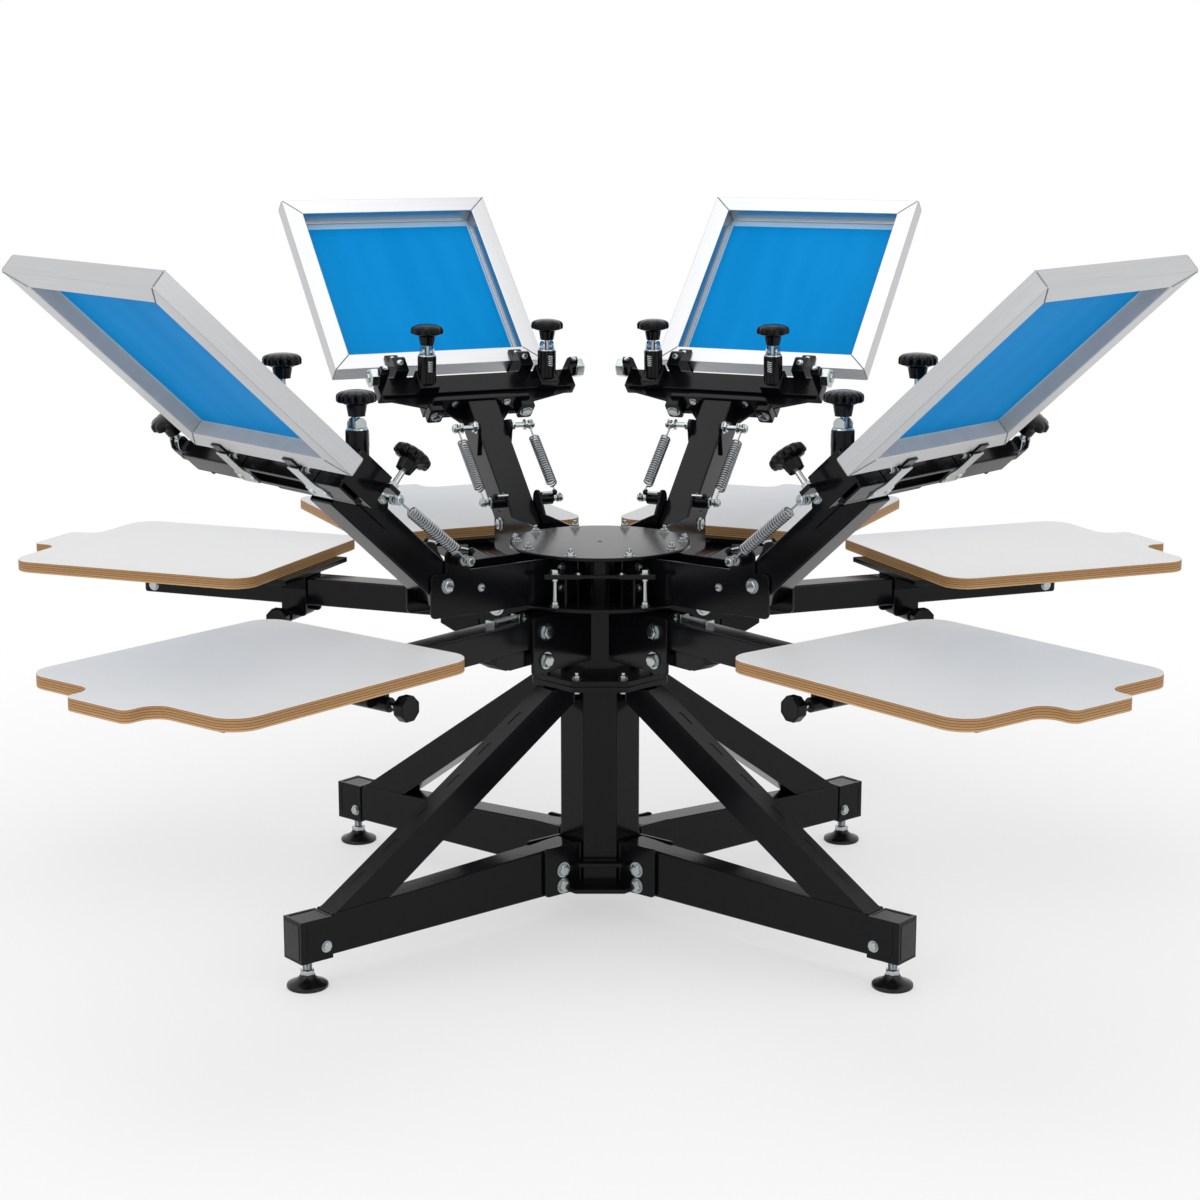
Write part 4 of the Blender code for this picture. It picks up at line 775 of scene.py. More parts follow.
def star_knob(shape: Shape, seat: Vector, axis: Vector, reach: float, height: float, neck: float,
        lobes: int = 10) -> None:
    """Add a moulded star knob: a neck, a flared underside, notched lobes and a low dome."""
    island = bmesh.new()
    levels = ((neck * 0.86, 0.0, 0.0), (neck, 0.30, 0.0), (neck * 1.05, 0.42, 0.0), (reach * 0.72, 0.50, 0.5),
        (reach * 0.95, 0.54, 1.0), (reach, 0.59, 1.0), (reach, 0.76, 1.0), (reach * 0.96, 0.84, 0.95),
        (reach * 0.84, 0.91, 0.7), (reach * 0.62, 0.96, 0.3), (reach * 0.36, 0.99, 0.1),
        (reach * 0.12, 1.0, 0.0))
    steps = lobes * 8
    rings = []
    for radius, share, depth in levels:
        ring = []
        for step in range(steps):
            angle = 2 * math.pi * step / steps
            off = abs((step / 8) % 1 - 0.5) / 0.5
            notch = math.exp(-(((1 - off) / 0.36) ** 2)) * 0.13 * depth
            ring.append(island.verts.new((radius * (1 - notch) * math.cos(angle),
                radius * (1 - notch) * math.sin(angle), share * height)))
        rings.append(ring)
    for low, high in zip(rings, rings[1:]):
        skin(island, low, high)
    island.faces.new(rings[0])
    island.faces.new(rings[-1])
    bmesh.ops.transform(island, matrix=turned(seat, axis), verts=island.verts)
    shape.keep(island, PHENOLIC)


# Base


@dataclass
class Column:
    """The eight-sided column with its flanges, leg plates and spindle."""

    flats: float = COLUMN_FLATS
    bottom_z: float = 0.060
    top_z: float = 0.434
    spindle_radius: float = 0.020
    spindle_top_z: float = 0.6587
    bracket_near: float = 0.0243
    bracket_wall: float = 0.006
    bracket_x: Span = (0.0625, 0.1465)
    bracket_z: Span = (0.0565, 0.1445)
    bolt_x: float = 0.1075
    bolts_z: Span = (0.072, 0.101)
    plate_flats: float = 0.205
    plate_wall: float = 0.008
    collar_flats: float = 0.180
    collar_z: Span = (0.104, 0.111)
    weld_flats: float = 0.139

    def build(self) -> None:
        """Stand the column in the scene."""
        shape = Shape()
        shape.prism(octagon(self.flats), (self.bottom_z + MM, self.top_z - MM), POWDER, 1.6 * MM, segments=3)
        plate_z = (self.bottom_z, self.bottom_z + self.plate_wall)
        shape.prism(octagon(self.plate_flats), plate_z, POWDER, 1.2 * MM)
        shape.prism(octagon(self.collar_flats), self.collar_z, POWDER, 1.2 * MM)
        shape.prism(octagon(FLANGE_FLATS), (self.top_z - FLANGE_WALL, self.top_z), POWDER, 1.2 * MM)
        shape.bar((0, 0, self.top_z), (0, 0, self.spindle_top_z), self.spindle_radius, CHROME, bevel=MM)
        for x, y in flange_corners():
            shape.bolt((x, y, self.top_z - FLANGE_WALL), (0, 0, -1), Bolt.FLANGE)
        for z in (self.collar_z[1], self.top_z - 0.011):
            rim = [Vector((x, y, z)) for x, y in octagon(self.weld_flats)]
            for start, end in zip(rim, rim[1:] + rim[:1]):
                shape.bead(start, end, 1.9 * MM, POWDER)
        place = Matrix.Translation((0, AXIS_Y, 0))
        shape.place("column", "base", place, ("column",))
        for side, azimuth_deg in LEG_STATIONS.items():
            self.bracket().place("leg_plates_" + side, "base", station(azimuth_deg))

    def bracket(self) -> Shape:
        """Return the pair of bolted plates that hold one leg."""
        shape = Shape()
        for hand in (-1, 1):
            far = self.bracket_near + self.bracket_wall
            seam = 0.0695
            outline = rounded(self.bracket_x, self.bracket_z, 0.009)
            shape.prism(outline, between(hand * self.bracket_near, hand * far), POWDER, 1.1 * MM, Plane.SIDE)
            shape.bead((seam, hand * far, 0.060), (seam, hand * far, 0.142), 2.2 * MM, POWDER)
            for z in self.bolts_z:
                shape.bolt((self.bolt_x, hand * far, z), (0, hand, 0), Bolt.LEG_PLATE)
        return shape


@dataclass
class Leg:
    """A tapered beam with a strut, a sleeve over its end and a levelling foot."""

    inner: float = 0.0756
    end: float = 0.638
    beam_half: float = 0.024
    inner_z: Span = (0.058, 0.144)
    outer_z: Span = (0.053, 0.117)
    strut_half: float = 0.022
    strut_top: Point = (0.123, 0.4225)
    strut_heel_z: float = 0.394
    toes: Span = (0.469, 0.576)
    slots: int = 6
    sleeve: Span = (0.580, 0.6405)
    sleeve_half: float = 0.0265
    sleeve_z: Span = (0.0495, 0.1205)
    foot_out: float = 0.614

    def beam_top(self, x: float) -> float:
        """Return the height of the beam's top at a distance from the axis."""
        share = (x - self.inner) / (self.end - self.inner)
        return self.inner_z[1] + (self.outer_z[1] - self.inner_z[1]) * share

    def leg(self) -> Shape:
        """Return the leg."""
        shape = Shape()
        half = self.beam_half
        shape.prism([(self.inner, self.inner_z[0]), (self.end, self.outer_z[0]), (self.end, self.outer_z[1]),
            (self.inner, self.inner_z[1])], (-half, half), POWDER, 3 * MM, Plane.SIDE, 3)
        near, far = self.toes
        toe_z = self.beam_top(far)
        top_x, top_z = self.strut_top
        fall = math.atan2(top_z - toe_z, far - top_x)
        cuts = []
        run = (far - top_x) / (self.slots + 1)
        for index in range(self.slots):
            x = top_x + run * (index + 1)
            z = top_z - (x - top_x) * math.tan(fall)
            slot = prism_mesh(stadium((0, 0), 0.032, 0.010), (-0.0012, 0.008))
            turn = Matrix.Translation((x, 0, z)) @ Matrix.Rotation(fall, 4, "Y")
            bmesh.ops.transform(slot, matrix=turn, verts=slot.verts)
            cuts.append(slot)
        shape.prism([(self.inner, self.strut_heel_z), (near, self.beam_top(near) - MM), (far, toe_z - MM),
            self.strut_top, (self.inner, top_z)], (-self.strut_half, self.strut_half), POWDER, 2.6 * MM,
            Plane.SIDE, 3, cuts)
        for hand in (-1, 1):
            y = hand * self.strut_half
            shape.bead(Vector((near, y, self.beam_top(near))), Vector((far, y, self.beam_top(far))), 2.4 * MM,
                POWDER)
            shape.bead(Vector((self.inner, y, self.strut_heel_z)), Vector((self.inner, y, top_z)), 2.4 * MM,
                POWDER)
            shape.bolt((self.sleeve[0] + 0.013, hand * self.sleeve_half, self.sleeve_z[0] + 0.022),
                (0, hand, 0), Bolt.SLEEVE)
        shape.bead(Vector((far, -self.strut_half, toe_z)), Vector((far, self.strut_half, toe_z)), 3 * MM,
            POWDER)
        self.end_sleeve(shape)
        return shape

    def end_sleeve(self, shape: Shape) -> None:
        """Add the sleeve over the beam's end, with its sunk top, its seams and its moulded cap."""
        start, end = self.sleeve
        half = self.sleeve_half
        low, high = self.sleeve_z
        cuts = [prism_mesh(rounded((start + 0.004, end - 0.006), (-half + 0.005, half - 0.005), 0.003, 3),
            (high - 0.0014, high + 0.01))]
        for hand in (-1, 1):
            seam = between(hand * (half - 0.0012), hand * (half + 0.01))
            cuts.append(prism_mesh(stadium_up((end - 0.0105, (low + high) / 2 + 0.003), 0.050, 0.0042), seam,
                Plane.SIDE))
        shape.prism([(start, -half), (end, -half), (end, half), (start, half)], self.sleeve_z, POWDER, 1.6 * MM,
            cuts=cuts)
        shape.box((end - MM, end + 1.2 * MM), (-0.0205, 0.0205), (low + 0.006, high - 0.006), NYLON, MM)

    def foot(self) -> Shape:
        """Return the levelling foot on its axis: pad, nuts and threaded stud."""
        shape = Shape()
        pad = [(0.0, 0.0), (0.0325, 0.0), (0.034, 0.0015), (0.034, 0.0055), (0.0328, 0.0072), (0.0245, 0.0105),
               (0.0165, 0.0150), (0.0130, 0.0195), (0.0120, 0.0218), (0.0, 0.0218)]
        shape.lathe(Vector(), UP, pad, NYLON, 48)
        for low, high in ((0.0212, 0.0300), (0.0418, 0.0492)):
            edge = 0.0011
            nut = [(0.0, low), (0.0112, low), (0.0127, low + edge), (0.0127, high - edge), (0.0112, high),
                   (0.0, high)]
            shape.lathe(Vector(), UP, nut, ZINC, 6)
        thread = [(0.0, 0.0295)]
        root, pitch, teeth = 0.0300, 0.00175, 11
        for tooth in range(teeth):
            z = root + tooth * pitch
            thread += [(0.0071, z), (0.0080, z + pitch / 2)]
        thread += [(0.0074, root + teeth * pitch), (0.0, root + teeth * pitch)]
        shape.lathe(Vector(), UP, thread, CHROME, 24)
        return shape

    def build(self) -> None:
        """Stand four legs and feet in the scene."""
        leg, foot = self.leg(), self.foot()
        for side, azimuth_deg in LEG_STATIONS.items():
            leg.place("leg_" + side, "base", station(azimuth_deg), ("leg_" + side,))
            foot.place("foot_" + side, "foot_" + side, station(azimuth_deg, self.foot_out),
                ("levelling_foot_" + side,))


# Lower wheel


@dataclass
class PlatenHub:
    """The turning barrel with six pairs of bolted arm plates."""

    low_z: float = 0.4343
    top_z: float = 0.569
    plate_x: Span = (0.055, 0.215)
    plate_z: Span = (0.470, 0.567)
    bolt_x: float = 0.183
    bolts_z: Span = (0.492, 0.541)
    plate_near: float = 0.0253
    plate_wall: float = 0.006

    def build(self) -> None:
        """Stand the hub in the scene."""
        shape = Shape()
        shape.prism(octagon(COLUMN_FLATS), (self.low_z + MM, self.top_z), POWDER, 1.6 * MM, segments=3)
        shape.prism(octagon(FLANGE_FLATS), (self.low_z, self.low_z + FLANGE_WALL), POWDER, 1.2 * MM)
        for x, y in flange_corners():
            shape.bolt((x, y, self.low_z + FLANGE_WALL), (0, 0, 1), Bolt.FLANGE)
            shape.bar((x, y, self.low_z + 0.012), (x, y, self.low_z + 0.0205), 0.0034, ZINC, 12, bevel=0.5 * MM)
        shape.place("platen_hub", "platen_wheel", Matrix.Translation((0, AXIS_Y, 0)), ("platen_hub",))
        plates = self.plates()
        for name, azimuth_deg in PLATEN_STATIONS.items():
            plates.place("hub_plates_" + name, "platen_wheel", station(azimuth_deg))

    def plates(self) -> Shape:
        """Return one pair of arm plates with their bolts."""
        shape = Shape()
        far = self.plate_near + self.plate_wall
        for hand in (-1, 1):
            shape.prism(rounded(self.plate_x, self.plate_z, 0.007), between(hand * self.plate_near, hand * far),
                POWDER, 1.1 * MM, Plane.SIDE)
            for z in self.bolts_z:
                shape.bolt((self.bolt_x, hand * far, z), (0, hand, 0), Bolt.HUB_PLATE)
        return shape


@dataclass
class PlatenStation:
    """One platen with its arm, carriage and lock knob."""

    arm_half: float = 0.025
    arm_x: Span = (0.086, 0.900)
    arm_z: Span = (0.514, 0.564)
    block_x: tuple[float, float, float] = (0.222, 0.271, 0.297)
    spring_x: Span = (0.222, 0.286)
    root_bolt_x: float = 0.2045
    crossbar_half: float = 0.120
    crossbar_width: float = 0.036
    board_x: Span = (0.572, 1.059)
    board_z: Span = (0.578, 0.598)
    board_half: float = 0.225
    corner: float = 0.045
    neck_half: float = 0.065
    neck_out: float = 0.055
    neck_corner: float = 0.014
    fillet: float = 0.030
    web_z: Span = (0.5645, 0.5695)
    carriage_x: Span = (0.560, 0.930)
    wall_near: float = 0.0255
    wall_far: float = 0.0305
    lug_low_z: float = 0.4935
    boss_in: float = 0.025
    boss_z: float = 0.499
    boss_out: float = 0.058

    def outline(self) -> list[Point]:
        """Return the board's outline with its neck and round corners."""
        inner, outer = self.board_x
        tip = outer + self.neck_out
        corner, nose, fillet = self.corner, self.neck_corner, self.fillet
        right = arc((inner + corner, corner - self.board_half), corner, 180, 270, 12)
        right += arc((outer - corner, corner - self.board_half), corner, 270, 360, 12)
        right += arc((outer + fillet, -self.neck_half - fillet), fillet, 180, 90, 8)
        right += arc((tip - nose, nose - self.neck_half), nose, 270, 360, 8)
        return right + [(x, -y) for x, y in reversed(right)]

    def board(self) -> Shape:
        """Return the board: laminate above and below, plywood at the edge."""
        shape = Shape()
        island = prism_mesh(self.outline(), self.board_z)
        shape.keep(island, LAMINATE, 0.7 * MM, 2)
        layer = shape.layers[LAMINATE.slot]
        layer.finishes.append(PLY_EDGE)
        for face in layer.mesh.faces:
            if abs(face.normal.z) < 0.6:
                face.material_index = 1
        return shape

    def arm(self) -> Shape:
        """Return the arm: tube, end cap, stop block, bolts and the registration spring on its root."""
        shape = Shape()
        half = self.arm_half
        low, high = self.arm_z
        shape.box(self.arm_x, (-half, half), self.arm_z, POWDER, 3.5 * MM, 3)
        end, inset = self.arm_x[1], 0.003
        shape.box((end - MM, end + 1.5 * MM), (-half + inset, half - inset), (low + inset, high - inset),
            NYLON, MM)
        near, bend, far = self.block_x
        shape.prism([(near, low - 0.026), (bend, low - 0.026), (far, low - 0.013), (far, low + MM),
            (near, low + MM)], (-0.020, 0.020), POWDER, 1.5 * MM, Plane.SIDE)
        for hand in (-1, 1):
            shape.bolt((end - 0.020, hand * half, low + 0.014), (0, hand, 0), Bolt.ARM_END)
        shape.bolt((self.root_bolt_x, 0, high), (0, 0, 1), Bolt.ARM_ROOT)
        for x in self.spring_x:
            shape.box((x - 0.003, x + 0.003), (-0.009, 0.009), (high - MM, high + 0.0100), ZINC, 0.6 * MM)
        spring = coil_mesh(17, 0.0038, 0.060, 0.0008, SPRING_WIRE)
        lie = Matrix.Translation((self.spring_x[0], 0, high + 0.0052)) @ Matrix.Rotation(math.pi / 2, 4, "Y")
        shape.add_mesh(spring, lie, SPRING_WIRE)
        return shape

    def carriage(self, hand: int) -> Shape:
        """Return the carriage, with the lock boss on one hand."""
        shape = Shape()
        inner, outer = self.carriage_x
        low, high = self.web_z
        near, far = self.wall_near, self.wall_far
        shape.box(self.carriage_x, (-far, far), self.web_z, POWDER, MM)
        for edge in (-1, 1):
            wall = between(edge * near, edge * far)
            shape.box(self.carriage_x, wall, (low - 0.022, high), POWDER, MM)
            shape.prism(rounded((inner, inner + 0.050), (self.lug_low_z, high), 0.008), wall, POWDER, MM,
                Plane.SIDE)
        bars_z = (high - MM, self.board_z[0] - 0.0003)
        for start in (self.board_x[0] - 0.020, outer - self.crossbar_width):
            shape.box((start, start + self.crossbar_width), (-self.crossbar_half, self.crossbar_half), bars_z,
                POWDER, MM)
        x = inner + self.boss_in
        axis = Vector((0, hand, 0))
        shape.lathe(Vector((x, -hand * far, self.boss_z)), axis,
            [(0.0, 0.0), (0.0115, 0.0), (0.012, 0.0008), (0.012, self.boss_out + far - 0.002),
            (0.0105, self.boss_out + far), (0.0, self.boss_out + far)], POWDER, 28)
        return shape

    def knob(self) -> Shape:
        """Return the eight-sided lock knob with its hollow face, along +Y from the boss."""
        shape = Shape()
        out = Vector((0, 1, 0))
        shape.lathe(Vector((0, 0.0003, 0)), out, [(0.0, 0.0), (0.005, 0.0), (0.005, 0.0155), (0.0, 0.0155)],
            CHROME, 20)
        grip = [(0.0, 0.0145), (0.0125, 0.0145), (0.0135, 0.0170), (0.0190, 0.0215), (0.0216, 0.0250),
                (0.0216, 0.0400), (0.0196, 0.0423), (0.0180, 0.0423), (0.0168, 0.0405), (0.0, 0.0405)]
        shape.lathe(Vector(), out, grip, PHENOLIC, 8, bevel=0.7 * MM, turn=math.pi / 8)
        return shape

    def build(self) -> None:
        """Stand all six stations in the scene."""
        board, arm, knob = self.board(), self.arm(), self.knob()
        carriages = {hand: self.carriage(hand) for hand in (-1, 1)}
        for name, azimuth_deg in PLATEN_STATIONS.items():
            hand = sign(azimuth_deg)
            frame = station(azimuth_deg)
            arm.place("arm_" + name, "platen_wheel", frame, ("platen_arm_" + name,))
            board.place("board_" + name, "board_" + name, frame, ("platen_" + name,))
            carriages[hand].place("carriage_" + name, "board_" + name, frame, ("platen_carriage_" + name,))
            turn = Matrix.Rotation(0.0 if hand > 0 else math.pi, 4, "Z")
            seat = Matrix.Translation((self.carriage_x[0] + self.boss_in, hand * self.boss_out, self.boss_z))
            knob.place("lock_knob_" + name, "lock_" + name, frame @ seat @ turn, ("platen_lock_knob_" + name,))


# Upper wheel


@dataclass
class HeadHub:
    """The two round plates that carry the heads, with the registration stop in front."""

    lower_z: Span = (0.577, 0.583)
    lower_radius: float = 0.187
    top_z: Span = (0.659, 0.665)
    top_radius: float = 0.157
    barrel_radius: float = 0.050
    barrel_z: Span = (0.5693, 0.6587)
    bore: float = 0.0205
    bolt_azimuths_deg: tuple[float, ...] = (20, 58, 90, 128, 162, -20, -58, -90, -128, -162)
    bar_z: Span = (0.630, 0.638)
    bar_y: Span = (-0.163, -0.133)
    bar_near: float = 0.029
    bar_half: float = 0.093
    post_out: float = 0.075

    def disc(self, shape: Shape, radius: float, z: Span, hole: float) -> None:
        """Add a flat ring with eased edges."""
        ease = 0.8 * MM
        low, high = z
        profile = [(hole, low), (radius - ease, low), (radius, low + ease), (radius, high - ease),
            (radius - ease, high), (hole, high)]
        shape.lathe(Vector(), UP, profile, POWDER, 96, ring=True)

    def build(self) -> None:
        """Stand the hub in the scene."""
        place = Matrix.Translation((0, AXIS_Y, 0))
        lower = Shape()
        self.disc(lower, self.lower_radius, self.lower_z, self.bore)
        low, high = self.barrel_z
        lower.lathe(Vector(), UP, [(self.bore, low), (self.barrel_radius, low), (self.barrel_radius, high),
            (self.bore, high)], POWDER, 48, ring=True)
        self.stop(lower)
        lower.place("head_lower_plate", "head_wheel", place, ("head_lower_plate",))
        top = Shape()
        self.disc(top, self.top_radius, self.top_z, 0.004)
        reach = self.top_radius - 0.013
        for azimuth_deg in self.bolt_azimuths_deg:
            angle = -math.pi / 2 - math.radians(azimuth_deg)
            x, y = reach * math.cos(angle), reach * math.sin(angle)
            top.bolt((x, y, self.top_z[1]), (0, 0, 1), Bolt.TOP_PLATE)
            top.bar((x, y, self.top_z[1] + 0.005), (x, y, self.top_z[1] + 0.0125), 0.0032, ZINC, 12,
                    bevel=0.5 * MM)
        top.place("head_top_plate", "head_wheel", place, ("head_top_plate",))

    def stop(self, shape: Shape) -> None:
        """Add the front registration stop: two bolted plates on bright posts, joined by a bar."""
        middle = sum(self.bar_y) / 2
        near_y, far_y = self.bar_y
        low, high = self.bar_z
        shape.box((-0.032, 0.032), (near_y + 0.002, near_y + 0.008), (low + MM, high - MM), POWDER, MM)
        floor = self.lower_z[1]
        for hand in (-1, 1):
            x = hand * self.post_out
            plate = [(hand * self.bar_near, near_y), (hand * self.bar_half, near_y),
                (hand * self.bar_half, near_y + 0.012), (hand * (self.bar_half - 0.014), far_y),
                (hand * self.bar_near, far_y)]
            shape.prism(plate, self.bar_z, POWDER, 1.2 * MM)
            shape.box(between(hand * 0.037, hand * 0.044), (near_y + 0.003, far_y + 0.012),
                (high - MM, high + 0.002), POWDER, 0.6 * MM)
            shape.bar((x, middle, floor), (x, middle, low), 0.0048, CHROME, 20)
            shape.bolt((x, middle, floor), (0, 0, 1), Bolt.STOP_FOOT)
            shape.bolt((x, middle, high), (0, 0, 1), Bolt.STOP_TOP)
            shape.bolt((x, middle, low), (0, 0, -1), Bolt.STOP_UNDER)
            shape.bolt((hand * 0.036, near_y + 0.006, high), (0, 0, 1), Bolt.STOP_SMALL)
            web = between(hand * 0.055, hand * 0.059)
            shape.box(web, (middle - 0.013, middle + 0.013), (floor - MM, low + MM), POWDER, MM)


@dataclass
class Yoke:
    """The two side plates in which a head is hinged, with the lower spring posts."""

    pivot: Point = HEAD_PIVOT
    near: float = 0.0303
    wall: float = 0.005
    inner: float = 0.081
    low_z: float = 0.5833
    high_z: float = 0.6587
    ear: Point = (0.345, 0.685)
    post_out: float = 0.062
    pin_out: float = 0.083

    def outline(self) -> list[Point]:
        """Return the side view of a side plate."""
        nose, ease = 0.392, 0.008
        chin, shoulder = 0.588, 0.661
        ear_x, ear_z = self.ear
        half, top = 0.017, ear_z + 0.017
        points = [(self.inner, self.low_z), (0.187, self.low_z)]
        points += arc((nose - ease, chin + ease), ease, 270, 360, 4)
        points += arc((nose - ease, shoulder - ease), ease, 0, 90, 4)
        points += [(ear_x + half, shoulder)]
        points += arc((ear_x, top - half), half, 0, 180, 10)
        return points + [(ear_x - 2 * half, shoulder), (0.157, self.high_z), (self.inner, self.high_z)]

    def shape(self) -> Shape:
        """Return one yoke."""
        shape = Shape()
        far = self.near + self.wall
        x, z = self.pivot
        ear_x, ear_z = self.ear
        for hand in (-1, 1):
            shape.prism(self.outline(), between(hand * self.near, hand * far), POWDER, 0.9 * MM, Plane.SIDE)
            out = Vector((0, hand, 0))
            long = self.post_out - far
            shape.lathe(Vector((ear_x, hand * far, ear_z)), out,
                [(0.0, -MM), (0.012, -MM), (0.012, long - 0.001), (0.011, long), (0.0, long)], POWDER, 24)
            shape.bar((ear_x, hand * (self.post_out - MM), ear_z), (ear_x, hand * self.pin_out, ear_z),
                STUD_RADIUS, ZINC, 16, bevel=0.8 * MM)
            shape.bolt((ear_x, hand * self.post_out, ear_z), (0, hand, 0), Bolt.POST_END)
            shape.bolt((ear_x, hand * (self.pin_out - 0.005), ear_z), (0, hand, 0), Bolt.PIN_END)
            shape.bolt((x, hand * far, z), (0, hand, 0), Bolt.PIVOT)
            ball = Vector((ear_x - 0.017, hand * (self.post_out - 0.004), ear_z + 0.013))
            shape.bar((ball.x, hand * (far - MM), ball.z), ball, 0.0028, ZINC, 12)
            shape.lathe(ball - out * 0.004, out, [(0.0, 0.0), (0.0040, 0.0012), (0.0058, 0.0046),
                (0.0053, 0.0080), (0.0030, 0.0102), (0.0, 0.0108)], PHENOLIC, 20)
            for bolt_x, bolt_z in ((0.118, 0.604), (0.118, 0.640), (0.290, 0.628)):
                shape.bolt((bolt_x, hand * far, bolt_z), (0, hand, 0), Bolt.YOKE_ROOT)
        shape.box((self.inner, 0.300), (-self.near - MM, self.near + MM), (self.low_z, self.low_z + 0.005),
            POWDER, 0.8 * MM)
        shape.bar((x, -far, z), (x, far, z), 0.008, CHROME, 24)
        return shape


@dataclass(frozen=True)
class ClampForm:
    """Where a clamp's bar ends and its straps and posts stand, across a left-hand head."""

    ends: Span
    straps: Span
    posts: Span
    front: bool


FRONT_CLAMP = ClampForm((-0.300, 0.145), (-0.136, 0.064), (-0.085, 0.114), True)
BACK_CLAMP = ClampForm((-0.215, 0.190), (-0.118, 0.140), (-0.154, 0.095), False)


